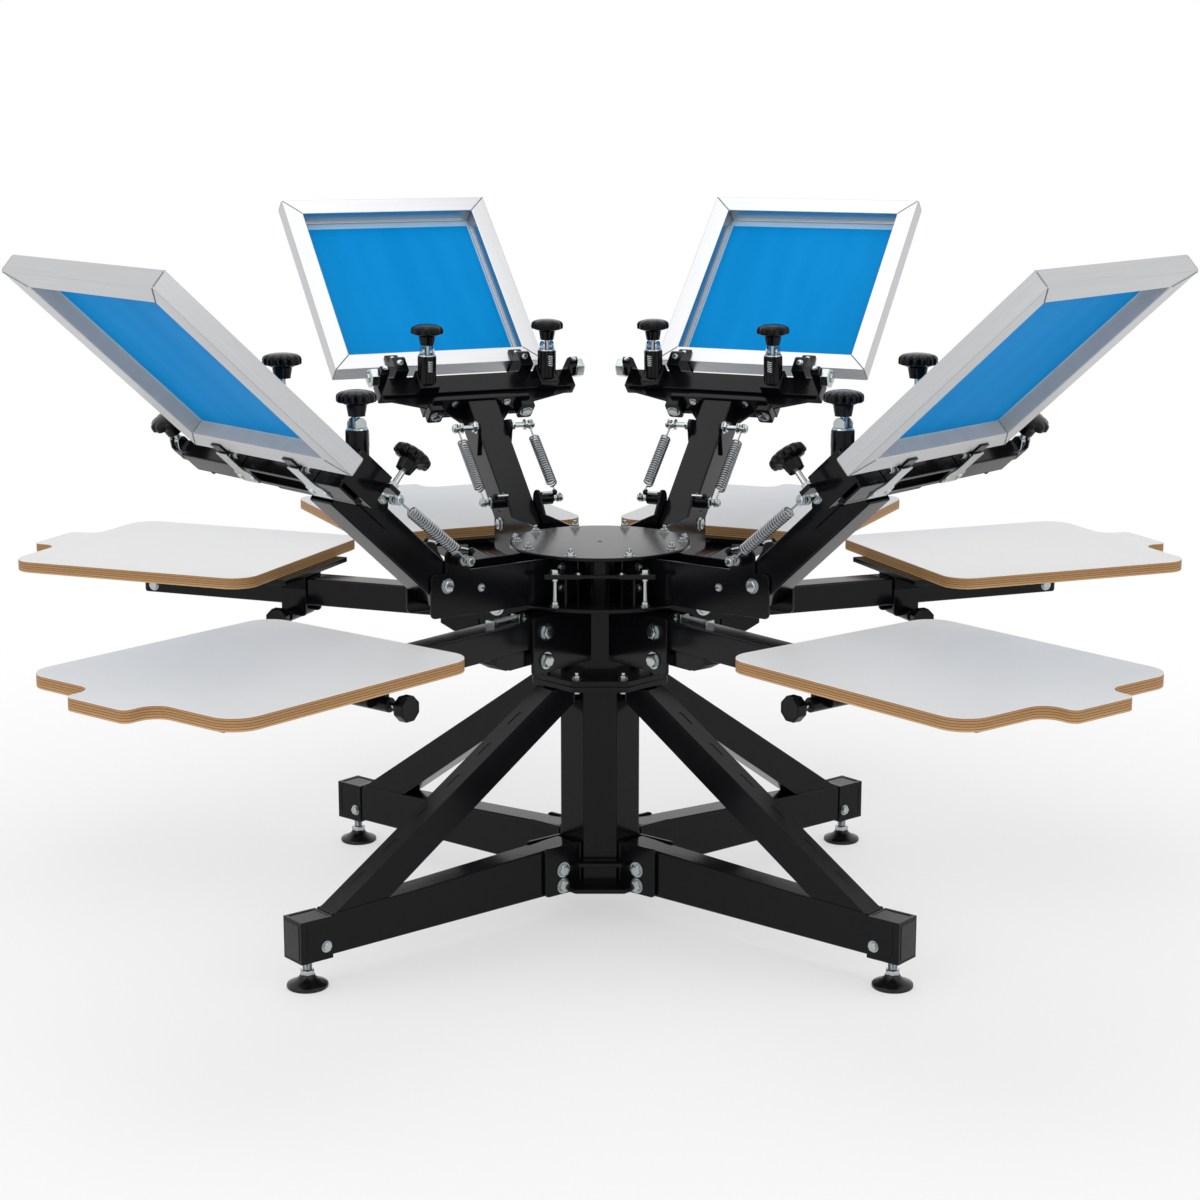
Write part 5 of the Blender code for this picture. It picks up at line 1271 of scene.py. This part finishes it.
@dataclass
class Head:
    """One print head in the frame of its lift pivot: arm, clamp, screen and springs."""

    half: float = 0.030
    heel: float = -0.030
    arm_end: float = 0.270
    plate_end: float = 0.278
    ear: Point = (0.200, 0.036)
    pin_out: float = 0.083
    clamp_start: float = 0.2783
    clamp_end: float = 0.3503
    clamp_top: float = 0.010
    clamp_low: float = -0.026
    box_low: float = -0.038
    tube_start: float = 0.308
    wall: float = 0.004
    post_long: float = 0.052
    post_radius: float = 0.018
    post_tilt_deg: float = 42.0
    screen_start: float = 0.386
    screen_end: float = 0.822
    screen_half: float = 0.216
    screen_z: Span = (-0.034, -0.002)
    tube: float = 0.036
    coil_long: float = 0.114

    def arm(self) -> Shape:
        """Return the head arm: tube, spring ears with their stub pins, and end plate."""
        shape = Shape()
        half = self.half
        bore = bmesh.new()
        bmesh.ops.create_cone(bore, cap_ends=True, segments=32, radius1=0.0086, radius2=0.0086, depth=0.1)
        bmesh.ops.rotate(bore, cent=(0, 0, 0), matrix=Matrix.Rotation(math.pi / 2, 3, "X"), verts=bore.verts)
        shape.prism([(self.heel, -half), (self.arm_end + MM, -half), (self.arm_end + MM, half),
            (self.heel, half)], (-half, half), POWDER, 3.5 * MM, Plane.SIDE, 3, [bore])
        slots = [prism_mesh(stadium((side * 0.068, -0.004), 0.030, 0.011),
            (self.arm_end - 0.01, self.arm_end + 0.003), Plane.FRONT) for side in (-1, 1)]
        shape.prism(rounded((-0.100, 0.100), (-0.020, 0.034), 0.005, 4), (self.arm_end, self.plate_end), POWDER,
            1.2 * MM, Plane.FRONT, cuts=slots)
        ear_x, ear_z = self.ear
        for hand in (-1, 1):
            wall = between(hand * (half - MM), hand * (half + 0.005))
            top = arc((ear_x, ear_z), 0.012, 30, 150, 8)
            shape.prism([(ear_x - 0.040, 0), (ear_x + 0.040, 0)] + top, wall, POWDER, 0.9 * MM, Plane.SIDE)
            shape.bolt((ear_x, hand * (half + 0.005), ear_z), (0, hand, 0), Bolt.SPRING_EAR)
            shape.bolt((ear_x, hand * 0.0635, ear_z), (0, hand, 0), Bolt.SPRING_STUD)
            shape.bolt((ear_x, hand * (self.pin_out - 0.0055), ear_z), (0, hand, 0), Bolt.STUD_END)
            block = between(hand * 0.078, hand * 0.108)
            shape.prism(rounded(block, (-0.013, 0.026), 0.006, 4), (self.arm_end - 0.016, self.arm_end + MM),
                POWDER, 1.2 * MM, Plane.FRONT)
            shape.bolt((self.arm_end - 0.016, hand * 0.093, 0.007), (-1, 0, 0), Bolt.CLAMP_OUTER)
            gusset = [(self.arm_end - 0.045, half), (self.arm_end + MM, half), (self.arm_end + MM, 0.070)]
            gusset = [(x, hand * y) for x, y in gusset]
            shape.prism(gusset, (-0.004, 0.001), POWDER, 0.8 * MM)
            shape.bolt((self.arm_end, hand * 0.052, 0.021), (-1, 0, 0), Bolt.CLAMP_INNER)
            shape.bar((ear_x, hand * half, ear_z), (ear_x, hand * self.pin_out, ear_z), STUD_RADIUS, ZINC, 16,
                bevel=0.8 * MM)
        return shape

    def clamp(self, form: ClampForm, hand: int) -> Shape:
        """Return a screen clamp: bar, straps, posts, star knobs and end pieces.

        Args:
            form: Where its pieces stand on a left-hand head.
            hand: 1 for a left-hand head, -1 for its mirror image.

        Returns:
            The clamp in the frame of the lift pivot.
        """
        shape = Shape()
        ends = [hand * place for place in form.ends]
        self.clamp_bar(shape, form, between(*ends))
        for end in ends:
            out = sign(end)
            if form.front:
                self.end_plate(shape, end, out)
            else:
                self.upright(shape, end, out)
        for place in form.straps:
            self.strap(shape, form, hand * place)
        for index, place in enumerate(form.posts):
            self.post(shape, hand * place, 0.040 if form.front and index == 0 else 0.0, 14 if form.front else 8)
        if form.front:
            self.far_knob(shape, ends[0], sign(ends[0]))
            self.near_knob(shape, ends[1], sign(ends[1]))
        return shape

    def clamp_bar(self, shape: Shape, form: ClampForm, span: Span) -> None:
        """Add the bar, a box with a window in front, and the tapered plate that joins it to the arm."""
        start, end, top, low, wall = self.clamp_start, self.clamp_end, self.clamp_top, self.clamp_low, self.wall
        tube, deep = self.tube_start, self.box_low
        waist, step = 0.105, 0.007
        if form.front:
            shape.box((tube, end), span, (top - wall, top), POWDER, 1.3 * MM)
            for near in (tube, end - wall):
                shape.box((near, near + wall), span, (deep, top - MM), POWDER, 0.9 * MM)
            hand = 1 if span[1] < -span[0] else -1
            open_part = between(*(hand * place for place in form.straps))
            window = prism_mesh(rounded((tube + 0.008, end - 0.008),
                (open_part[0] + 0.028, open_part[1] - 0.028), 0.004, 3), (deep - 0.01, deep + 0.01))
            shape.prism([(tube, span[0]), (end, span[0]), (end, span[1]), (tube, span[1])], (deep, deep + wall),
                POWDER, 0.9 * MM, cuts=[window])
            # The darker, duller sheet inside the bar, behind its window, is painted shade.
            shape.box((tube + wall, end - wall), (span[0] + 0.006, span[1] - 0.006),
                (deep + 0.012, deep + 0.014), PAINTED_SHADE_BLACK, 0.0)
        else:
            shape.box((tube, end), span, (top - 0.024, top), POWDER, 1.6 * MM)
        ends = (span[0] + 0.004, span[1] - 0.004)
        plate = [(tube + MM, ends[0]), (tube + MM, ends[1]), (tube - 0.006, ends[1] - 0.006), (start, waist),
            (start, -waist), (tube - 0.006, ends[0] + 0.006)]
        shape.prism(plate, (top - step - wall, top - step), POWDER, 1.1 * MM)
        shape.box((start, tube + MM), (-waist, waist), (low, top - step - MM), POWDER, 1.1 * MM)
        for y in (-0.045, 0.045):
            shape.bolt((tube - 0.017, y, top - step), (0, 0, 1), Bolt.BAR_PLATE)

    def end_plate(self, shape: Shape, end: float, out: int) -> None:
        """Add the square plate that closes a front bar, with the screw that holds it."""
        side = between(end + out * 0.001, end - out * 0.004)
        shape.prism(rounded((self.clamp_start + 0.001, self.clamp_end + 0.001),
            (self.clamp_low - 0.001, self.clamp_top + 0.022), 0.002, 3), side, POWDER, 0.9 * MM, Plane.SIDE)
        middle = (self.clamp_start + self.clamp_end) / 2
        shape.bolt((middle, end - out * 0.004, self.clamp_top - 0.014), (0, -out, 0), Bolt.END_PLATE)

    def upright(self, shape: Shape, end: float, out: int) -> None:
        """Add the upright block and the heavy hexagon screw at the end of a back bar."""
        far = self.clamp_end + 0.001
        low, high = self.clamp_top - 0.002, self.clamp_top + 0.042
        side = between(end + out * 0.001, end - out * 0.016)
        shape.prism([(far - 0.018, low), (far, low), (far, high - 0.010), (far - 0.005, high),
            (far - 0.014, high), (far - 0.018, high - 0.006)], side, POWDER, 1.2 * MM, Plane.SIDE)
        shape.bolt((far - 0.0095, end - out * 0.0075, high), (0, 0, 1), Bolt.UPRIGHT)
        screw = Vector((far - 0.010, end, self.clamp_top + 0.013))
        way = Vector((0, out, 0))
        shape.lathe(screw, way, [(0.0, 0.0), (0.0165, 0.0), (0.0190, 0.0025), (0.0190, 0.0165),
            (0.0155, 0.0190), (0.0095, 0.0190), (0.0095, 0.0215), (0.0085, 0.0225), (0.0, 0.0225)], ZINC, 6,
            bevel=0.5 * MM)

    def strap(self, shape: Shape, form: ClampForm, y: float) -> None:
        """Add a black strap with its lips over the screen's rail; in front a zinc bracket grips it."""
        across = (y - 0.013, y + 0.013)
        end, top = self.clamp_end, self.clamp_top
        low = self.box_low if form.front else self.clamp_low
        low_lip = self.screen_z[0] - 0.0003
        high_lip = self.screen_z[1] + 0.0003
        lip_end = self.screen_start + (0.017 if form.front else 0.026)
        near = self.screen_start - 0.004
        bend = [(end - 0.002, low_lip - 0.0025), (lip_end, low_lip - 0.0025), (lip_end, low_lip),
            (near, low_lip), (near, high_lip), (lip_end, high_lip), (lip_end, high_lip + 0.004),
            (near + 0.006, high_lip + 0.012), (near + 0.0035, top + 0.018), (near - 0.002, top + 0.022),
            (end - 0.002, top + 0.022)]
        shape.prism(bend, across, POWDER, 0.9 * MM, Plane.SIDE)
        shape.bolt((near - 0.014, y, top + 0.022), (0, 0, 1), Bolt.STRAP_TOP)
        shape.bolt((lip_end - 0.010, y, high_lip + 0.0045), (0, 0, 1), Bolt.LIP)
        if not form.front:
            shape.bolt((end - 0.026, y, low - 0.0013), (0, 0, -1), Bolt.STRAP_UNDER)
            return
        foot = low - 0.0024
        base, width = 0.024, 0.0150
        under = [(self.tube_start + 0.002, y - base), (self.tube_start + 0.024, y - base),
            (end - 0.010, y - width), (near + 0.003, y - width), (near + 0.003, y + width),
            (end - 0.010, y + width), (self.tube_start + 0.024, y + base), (self.tube_start + 0.002, y + base)]
        shape.prism(under, (foot, low + 0.0002), ZINC, 0.6 * MM)
        for wing in (-1, 1):
            side = between(y + wing * 0.0128, y + wing * width)
            cheek = [(end - 0.006, foot)] + arc((near - 0.009, foot + 0.007), 0.007, -90, 0, 4)
            cheek += [(near - 0.002, low + 0.024)] + arc((near - 0.014, top + 0.002), 0.011, 0, 100, 6)
            cheek += [(end + 0.0008, top - 0.006), (end + 0.0008, low - 0.0004), (end - 0.006, low - 0.0004)]
            shape.prism(cheek, side, ZINC, 0.6 * MM, Plane.SIDE)
            for z in (low + 0.010, low + 0.034):
                shape.bolt((end + 0.018, y + wing * width, z), (0, wing, 0), Bolt.CHEEK)
            shape.bolt((self.tube_start + 0.013, y + wing * 0.018, foot), (0, 0, -1), Bolt.FOOT_SCREW)

    def post(self, shape: Shape, y: float, stud_extra: float, lobes: int) -> None:
        """Add a post on its block, with its bright thread, its zinc ears and its star knob."""
        end, top = self.clamp_end, self.clamp_top
        shape.box((end - 0.045, end - MM), (y - 0.0200, y + 0.0200), (top - 0.004, top + 0.020), POWDER,
            1.8 * MM)
        tilt = math.radians(self.post_tilt_deg)
        axis = Vector((math.sin(tilt), 0, math.cos(tilt)))
        back = Vector((-math.cos(tilt), 0, math.sin(tilt)))
        foot = Vector((end - 0.025, y, top + 0.011))
        radius, long = self.post_radius, self.post_long
        shape.lathe(foot, axis, [(0.0, 0.0), (radius, 0.0), (radius, long - 0.002), (radius - 0.002, long),
            (0.0, long)], POWDER, 36)
        seat = foot + axis * long
        shape.lathe(seat, axis, [(0.0, -MM), (0.0165, -MM), (0.0165, 0.0015), (0.0155, 0.0025), (0.0, 0.0025)],
            ZINC, 28)
        thread = coil_mesh(6, 0.0040, 0.0215, 0.0013, ZINC)
        start = foot + axis * (long - 0.030) + back * (radius - 0.0012)
        shape.add_mesh(thread, turned(start, axis), ZINC)
        for wing in (-1, 1):
            side = between(y + wing * 0.0085, y + wing * 0.0115)
            ear = [(-0.0105, 0.0), (0.0105, 0.0)] + arc((0.0, 0.0075), 0.0105, 0, 180, 12)
            points = [seat + back * across + axis * up for across, up in ear]
            shape.prism([(point.x, point.z) for point in points], side, ZINC, 0.7 * MM, Plane.SIDE)
        knob_seat = seat + axis * (0.020 + stud_extra)
        shape.bar(seat, knob_seat + axis * 0.004, STUD_RADIUS, CHROME, 20)
        if stud_extra:
            shape.lathe(seat + axis * stud_extra * 0.45, axis,
                [(0.0, 0.0), (0.009, 0.0), (0.009, 0.007), (0.0, 0.007)], ZINC, 6, bevel=0.6 * MM)
        star_knob(shape, knob_seat, axis, 0.0310, 0.040, 0.0150, lobes)

    def far_knob(self, shape: Shape, end: float, out: int) -> None:
        """Add the knob that leans out from a front bar's far end, on a clevis of zinc cheeks."""
        axis = Vector((0.957, 0, 0.293)).normalized()
        y = end + out * 0.030
        foot = Vector((self.clamp_end - 0.008, y, -0.016))
        shape.box((self.clamp_end - 0.034, self.clamp_end - 0.006), between(end - out * 0.003, y + out * 0.012),
            (-0.030, -0.006), POWDER, 2 * MM)
        shape.bar(foot - axis * 0.020, foot + axis * 0.010, 0.0105, POWDER, 28, bevel=MM)
        for wing in (-1, 1):
            side = between(y + wing * 0.0108, y + wing * 0.0133)
            cheek = [(self.clamp_end - 0.018, -0.029), (self.clamp_end - 0.002, -0.029)]
            cheek += arc((self.clamp_end + 0.002, -0.015), 0.009, -60, 90, 8)
            cheek += [(self.clamp_end - 0.018, -0.007)]
            shape.prism(cheek, side, ZINC, 0.6 * MM, Plane.SIDE)
        seat = foot + axis * 0.024
        shape.bar(foot + axis * 0.008, foot + axis * 0.014, 0.0085, ZINC, 6, bevel=0.6 * MM)
        shape.bar(foot, seat + axis * 0.004, STUD_RADIUS, CHROME, 20)
        star_knob(shape, seat, axis, 0.0300, 0.036, 0.0150, 9)

    def near_knob(self, shape: Shape, end: float, out: int) -> None:
        """Add the lug at a front bar's near end with the knob that stands on it."""
        deep = (self.clamp_start + 0.002, self.clamp_start + 0.024)
        top = self.clamp_top
        shape.box(deep, between(end - out * 0.002, end + out * 0.044), (top - 0.008, top), POWDER, 1.5 * MM)
        seat = Vector((sum(deep) / 2, end + out * 0.032, top))
        shape.lathe(seat, UP, [(0.0, -MM), (0.0085, -MM), (0.0085, 0.007), (0.0, 0.007)], ZINC, 6,
            bevel=0.6 * MM)
        shape.bar(seat, seat + UP * 0.034, STUD_RADIUS, CHROME, 20)
        star_knob(shape, seat + UP * 0.031, UP, 0.0310, 0.038, 0.0150, 12)

    def screen(self, azimuth_deg: float, tilt_deg: float, recessed: bool) -> Shape:
        """Return the screen: four mitred rails, welds at the corners, mesh and blue coat.

        Args:
            azimuth_deg: Station of its head.
            tilt_deg: How far the head is lifted.
            recessed: Whether the mesh lies at the rails' upper side, as on the two front screens.

        Returns:
            The screen in the frame of the lift pivot.
        """
        shape = Shape()
        low, high = self.screen_z
        start, end, half, tube = self.screen_start, self.screen_end, self.screen_half, self.tube
        rails = [aluminium(azimuth_deg, tilt_deg, streak) for streak in (Streak.ALONG, Streak.ACROSS)] * 2
        outer = [(start, -half), (end, -half), (end, half), (start, half)]
        inner = [(start + tube, -half + tube), (end - tube, -half + tube), (end - tube, half - tube),
            (start + tube, half - tube)]
        for at, finish in enumerate(rails):
            after = (at + 1) % 4
            shape.prism([outer[at], outer[after], inner[after], inner[at]], (low, high), finish, 1.6 * MM,
                segments=3)
            corner_out, corner_in = Vector((*outer[at], 0)), Vector((*inner[at], 0))
            for z in (low, high):
                lift = Vector((0, 0, z))
                reach = corner_out.lerp(corner_in, 0.06) + lift
                shape.bead(reach, corner_out.lerp(corner_in, 0.96) + lift, 0.9 * MM, WELD_METAL)
            shape.bead(corner_in + Vector((0, 0, low + 0.004)), corner_in + Vector((0, 0, high - 0.002)),
                1.8 * MM, WELD_METAL)
            shape.bead(corner_out.lerp(corner_in, 0.025) + Vector((0, 0, low + 0.003)),
                corner_out.lerp(corner_in, 0.025) + Vector((0, 0, high - 0.003)), 1.2 * MM, WELD_METAL)
        mesh_z = high - 0.0065 if recessed else low + 0.0004
        lip, shade_lining = 0.003, 0.00075
        for at, finish in enumerate(rails):
            after = (at + 1) % 4
            a, b = Vector(inner[at]), Vector(inner[after])
            inward = Vector((-(b - a).y, (b - a).x)).normalized()
            strips = [(lip, (mesh_z + 0.0004, mesh_z + 0.0046), finish, 0.5 * MM)]
            # On the recessed screens a thin matt lining over the inner walls is painted shade.
            if recessed:
                strips.append((shade_lining, (low + 0.0018, mesh_z), PAINTED_SHADE_INNER_WALL, 0.0))
            for width, z, cover, bevel in strips:
                shape.prism([tuple(a), tuple(b), tuple(b + inward * width), tuple(a + inward * width)], z,
                    cover, bevel)
        shape.box((start + tube - MM, end - tube + MM), (-half + tube - MM, half - tube + MM),
            (mesh_z, mesh_z + 0.0008), BARE_MESH, 0.0)
        shape.box((start + tube + 0.003, end - tube - 0.016), (-half + tube + 0.007, half - tube - 0.007),
            (mesh_z - 0.0003, mesh_z + 0.0012), emulsion(azimuth_deg, tilt_deg), 0.0)
        return shape

    def spring(self, tilt_deg: float) -> tuple[Shape, float]:
        """Return a spring along +Z from its lower pin, and the distance between its pins."""
        reach = (self.upper_pin(tilt_deg) - self.lower_pin()).length
        shape = Shape()
        body, wire, radius = self.coil_long, 0.0017, 0.0086
        first = (reach - body) / 2
        coil = coil_mesh(21, radius, body, wire, SPRING_WIRE)
        shape.add_mesh(coil, Matrix.Translation((0, 0, first)), SPRING_WIRE)
        loop = 0.005 + wire + 0.0003
        for end, way in ((0.0, 1), (reach, -1)):
            points = [Vector((radius, 0, end + way * first))]
            points += [Vector((radius * (1 - share), 0, end + way * (first - 0.006 * share)))
                for share in (0.35, 0.7, 1.0)]
            points += [Vector((0, 0, end + way * (loop + (first - 0.006 - loop) * share)))
                for share in (0.8, 0.5, 0.25, 0.08)]
            points += [Vector((loop * math.sin(a), 0, end + way * loop * math.cos(a)))
                for a in (math.radians(d) for d in range(15, 300, 15))]
            shape.wire(points, wire, SPRING_WIRE, 8)
        return shape, reach

    def lower_pin(self) -> Vector:
        """Return the lower spring pin in the raised head's plane, from the pivot."""
        return Vector((-0.015, 0.045))

    def upper_pin(self, tilt_deg: float) -> Vector:
        """Return the upper spring pin in the raised head's plane, from the pivot."""
        lift = math.radians(tilt_deg)
        out, up = self.ear
        return Vector((out * math.cos(lift) - up * math.sin(lift), out * math.sin(lift) + up * math.cos(lift)))

    def build_springs(self, side: str, azimuth_deg: float, tilt_deg: float) -> None:
        """Stand a head's two springs in the scene."""
        shape, reach = self.spring(tilt_deg)
        lower, upper = self.lower_pin(), self.upper_pin(tilt_deg)
        lean_deg = math.degrees(math.atan2(upper.x - lower.x, upper.y - lower.y))
        for flank, across in (("a", SPRING_ACROSS), ("b", -SPRING_ACROSS)):
            frame = station(azimuth_deg, HEAD_PIVOT[0] + lower.x, HEAD_PIVOT[1] + lower.y, -lean_deg)
            frame = frame @ Matrix.Translation((0, across, 0))
            layer = shape.layers[SPRING_WIRE.slot]
            mesh = bpy.data.meshes.new("spring")
            layer.mesh.to_mesh(mesh)
            mesh.transform(frame)
            mesh.materials.append(material_of(SPRING_WIRE))
            thing = linked(f"spring_{side}_{flank}", mesh)
            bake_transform(thing)
            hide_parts(f"lift_spring_{side}_{flank}")

    def build(self) -> None:
        """Stand the four heads in the scene."""
        yoke, arm = Yoke().shape(), self.arm()
        for side, azimuth_deg in HEAD_STATIONS.items():
            back = side.startswith("back")
            tilt_deg = BACK_LIFT_DEG if back else FRONT_LIFT_DEG
            body = "head_" + side
            yoke.place("yoke_" + side, "head_wheel", station(azimuth_deg), ("head_yoke_" + side,))
            lift = station(azimuth_deg, *HEAD_PIVOT, tilt_deg)
            arm.place("head_arm_" + side, body, lift, ("head_arm_" + side,))
            clamp = self.clamp(BACK_CLAMP if back else FRONT_CLAMP, sign(azimuth_deg))
            clamp.place("clamp_" + side, body, lift, ("screen_clamp_" + side,))
            shift = sign(azimuth_deg) * BACK_SCREEN_SHIFT if back else 0.0
            screen = self.screen(azimuth_deg, tilt_deg, not back)
            screen.place("screen_" + side, body, lift @ Matrix.Translation((0, shift, 0)), ("screen_" + side,))
            self.build_springs(side, azimuth_deg, tilt_deg)


# Studio


@dataclass
class Studio:
    """A white floor, a white surround, soft lamps and the camera."""

    camera_y: float = AXIS_Y - 4.079
    camera_z: float = 1.4216
    camera_down_deg: float = 11.91
    lens_mm: float = 71.96
    surround: float = 0.74
    floor_glow: float = 0.52
    floor_grey: float = 0.93
    floor_reach: float = 40.0
    shadow_reach: Span = (0.9, 2.5)

    def looked_at(self, tree: Tree) -> Socket:
        """Return one for rays that look, straight, in a mirror or through glass, and zero for light."""
        rays = add_node(tree, "ShaderNodeLightPath").outputs
        mirrored = calc(tree, "MAXIMUM", rays["Is Camera Ray"], rays["Is Glossy Ray"])
        return calc(tree, "MAXIMUM", mirrored, rays["Is Transmission Ray"])

    def world(self) -> None:
        """Make the surround white for the eye and a little lower for the light that it gives."""
        world = bpy.data.worlds.new("white_surround")
        bpy.context.scene.world = world
        world.use_nodes = True
        tree = world.node_tree
        back = tree.nodes["Background"]
        strength = ranged(tree, self.looked_at(tree), self.surround, 1.0, 0.0, 1.0)
        tree.links.new(strength, back.inputs["Strength"])
        back.inputs["Color"].default_value = (1, 1, 1, 1)

    def floor(self) -> None:
        """Lay the floor: it keeps the press's soft shadow and goes over into plain white."""
        mesh = bpy.data.meshes.new("floor")
        reach = self.floor_reach
        mesh.from_pydata([(-reach, -reach, 0), (reach, -reach, 0), (reach, reach, 0), (-reach, reach, 0)], [],
            [(0, 1, 2, 3)])
        thing = linked("floor", mesh)
        material = bpy.data.materials.new("white_studio_floor")
        material.use_nodes = True
        tree = material.node_tree
        shader = tree.nodes["Principled BSDF"]
        shader.inputs["Base Color"].default_value = (*[self.floor_grey] * 3, 1)
        shader.inputs["Roughness"].default_value = 0.7
        place = add_node(tree, "ShaderNodeTexCoord").outputs["Object"]
        far = add_node(tree, "ShaderNodeVectorMath", {0: place}, operation="LENGTH")
        near, away = self.shadow_reach
        share = add_node(tree, "ShaderNodeMapRange", {
            "Value": far.outputs["Value"], "From Min": near, "From Max": away, "To Min": self.floor_glow,
            "To Max": 1.0}, interpolation_type="SMOOTHSTEP")
        seen = calc(tree, "MULTIPLY", share.outputs[0], self.looked_at(tree))
        glow = add_node(tree, "ShaderNodeEmission", {"Color": (1, 1, 1, 1), "Strength": 1.0})
        both = add_node(tree, "ShaderNodeMixShader", {0: seen, 1: shader.outputs[0], 2: glow.outputs[0]})
        tree.links.new(both.outputs[0], tree.nodes["Material Output"].inputs["Surface"])
        mesh.materials.append(material)

    def lamp(self, name: str, place: Place, aim: Place, size: Span, power: float) -> None:
        """Hang a soft rectangular lamp that looks at a point."""
        light = bpy.data.lights.new(name, "AREA")
        light.shape = "RECTANGLE"
        light.size, light.size_y = size
        light.energy = power
        thing = linked(name, light)
        thing.location = place
        thing.rotation_euler = (Vector(aim) - Vector(place)).to_track_quat("-Z", "Y").to_euler()
        thing.visible_camera = False

    def camera(self) -> None:
        """Stand the camera where the photograph was taken."""
        data = bpy.data.cameras.new("camera")
        data.lens = self.lens_mm
        data.sensor_width = 36.0
        thing = linked("camera", data)
        thing.location = (0.0, self.camera_y, self.camera_z)
        thing.rotation_euler = (math.radians(90 - self.camera_down_deg), 0.0, 0.0)
        bpy.context.scene.camera = thing

    def build(self) -> None:
        """Set up the studio."""
        self.world()
        self.floor()
        self.lamp("top_lamp", (-0.3, 0.2, 3.4), (0, 0, 0.4), (2.6, 2.2), 18)
        self.lamp("left_lamp", (-2.6, -3.2, 2.3), (0, 0, 0.5), (2.2, 2.4), 28)
        self.lamp("right_lamp", (2.8, -2.8, 2.1), (0, 0, 0.5), (1.8, 2.4), 18)
        self.camera()
        bpy.context.scene.view_settings.view_transform = "Standard"


def corners(limits: tuple[Vector, Vector]) -> list[list[float]]:
    """Return two corners as plain lists."""
    return [list(corner) for corner in limits]


def main() -> None:
    """Build the picture."""
    logging.basicConfig(level=logging.INFO)
    for thing in list(bpy.data.objects):
        bpy.data.objects.remove(thing, do_unlink=True)
    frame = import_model()
    for assembly in (Column(), Leg(), PlatenHub(), PlatenStation(), HeadHub(), Head(), Studio()):
        assembly.build()
        LOG.info("built %s", type(assembly).__name__)


if __name__ == "__main__":
    main()
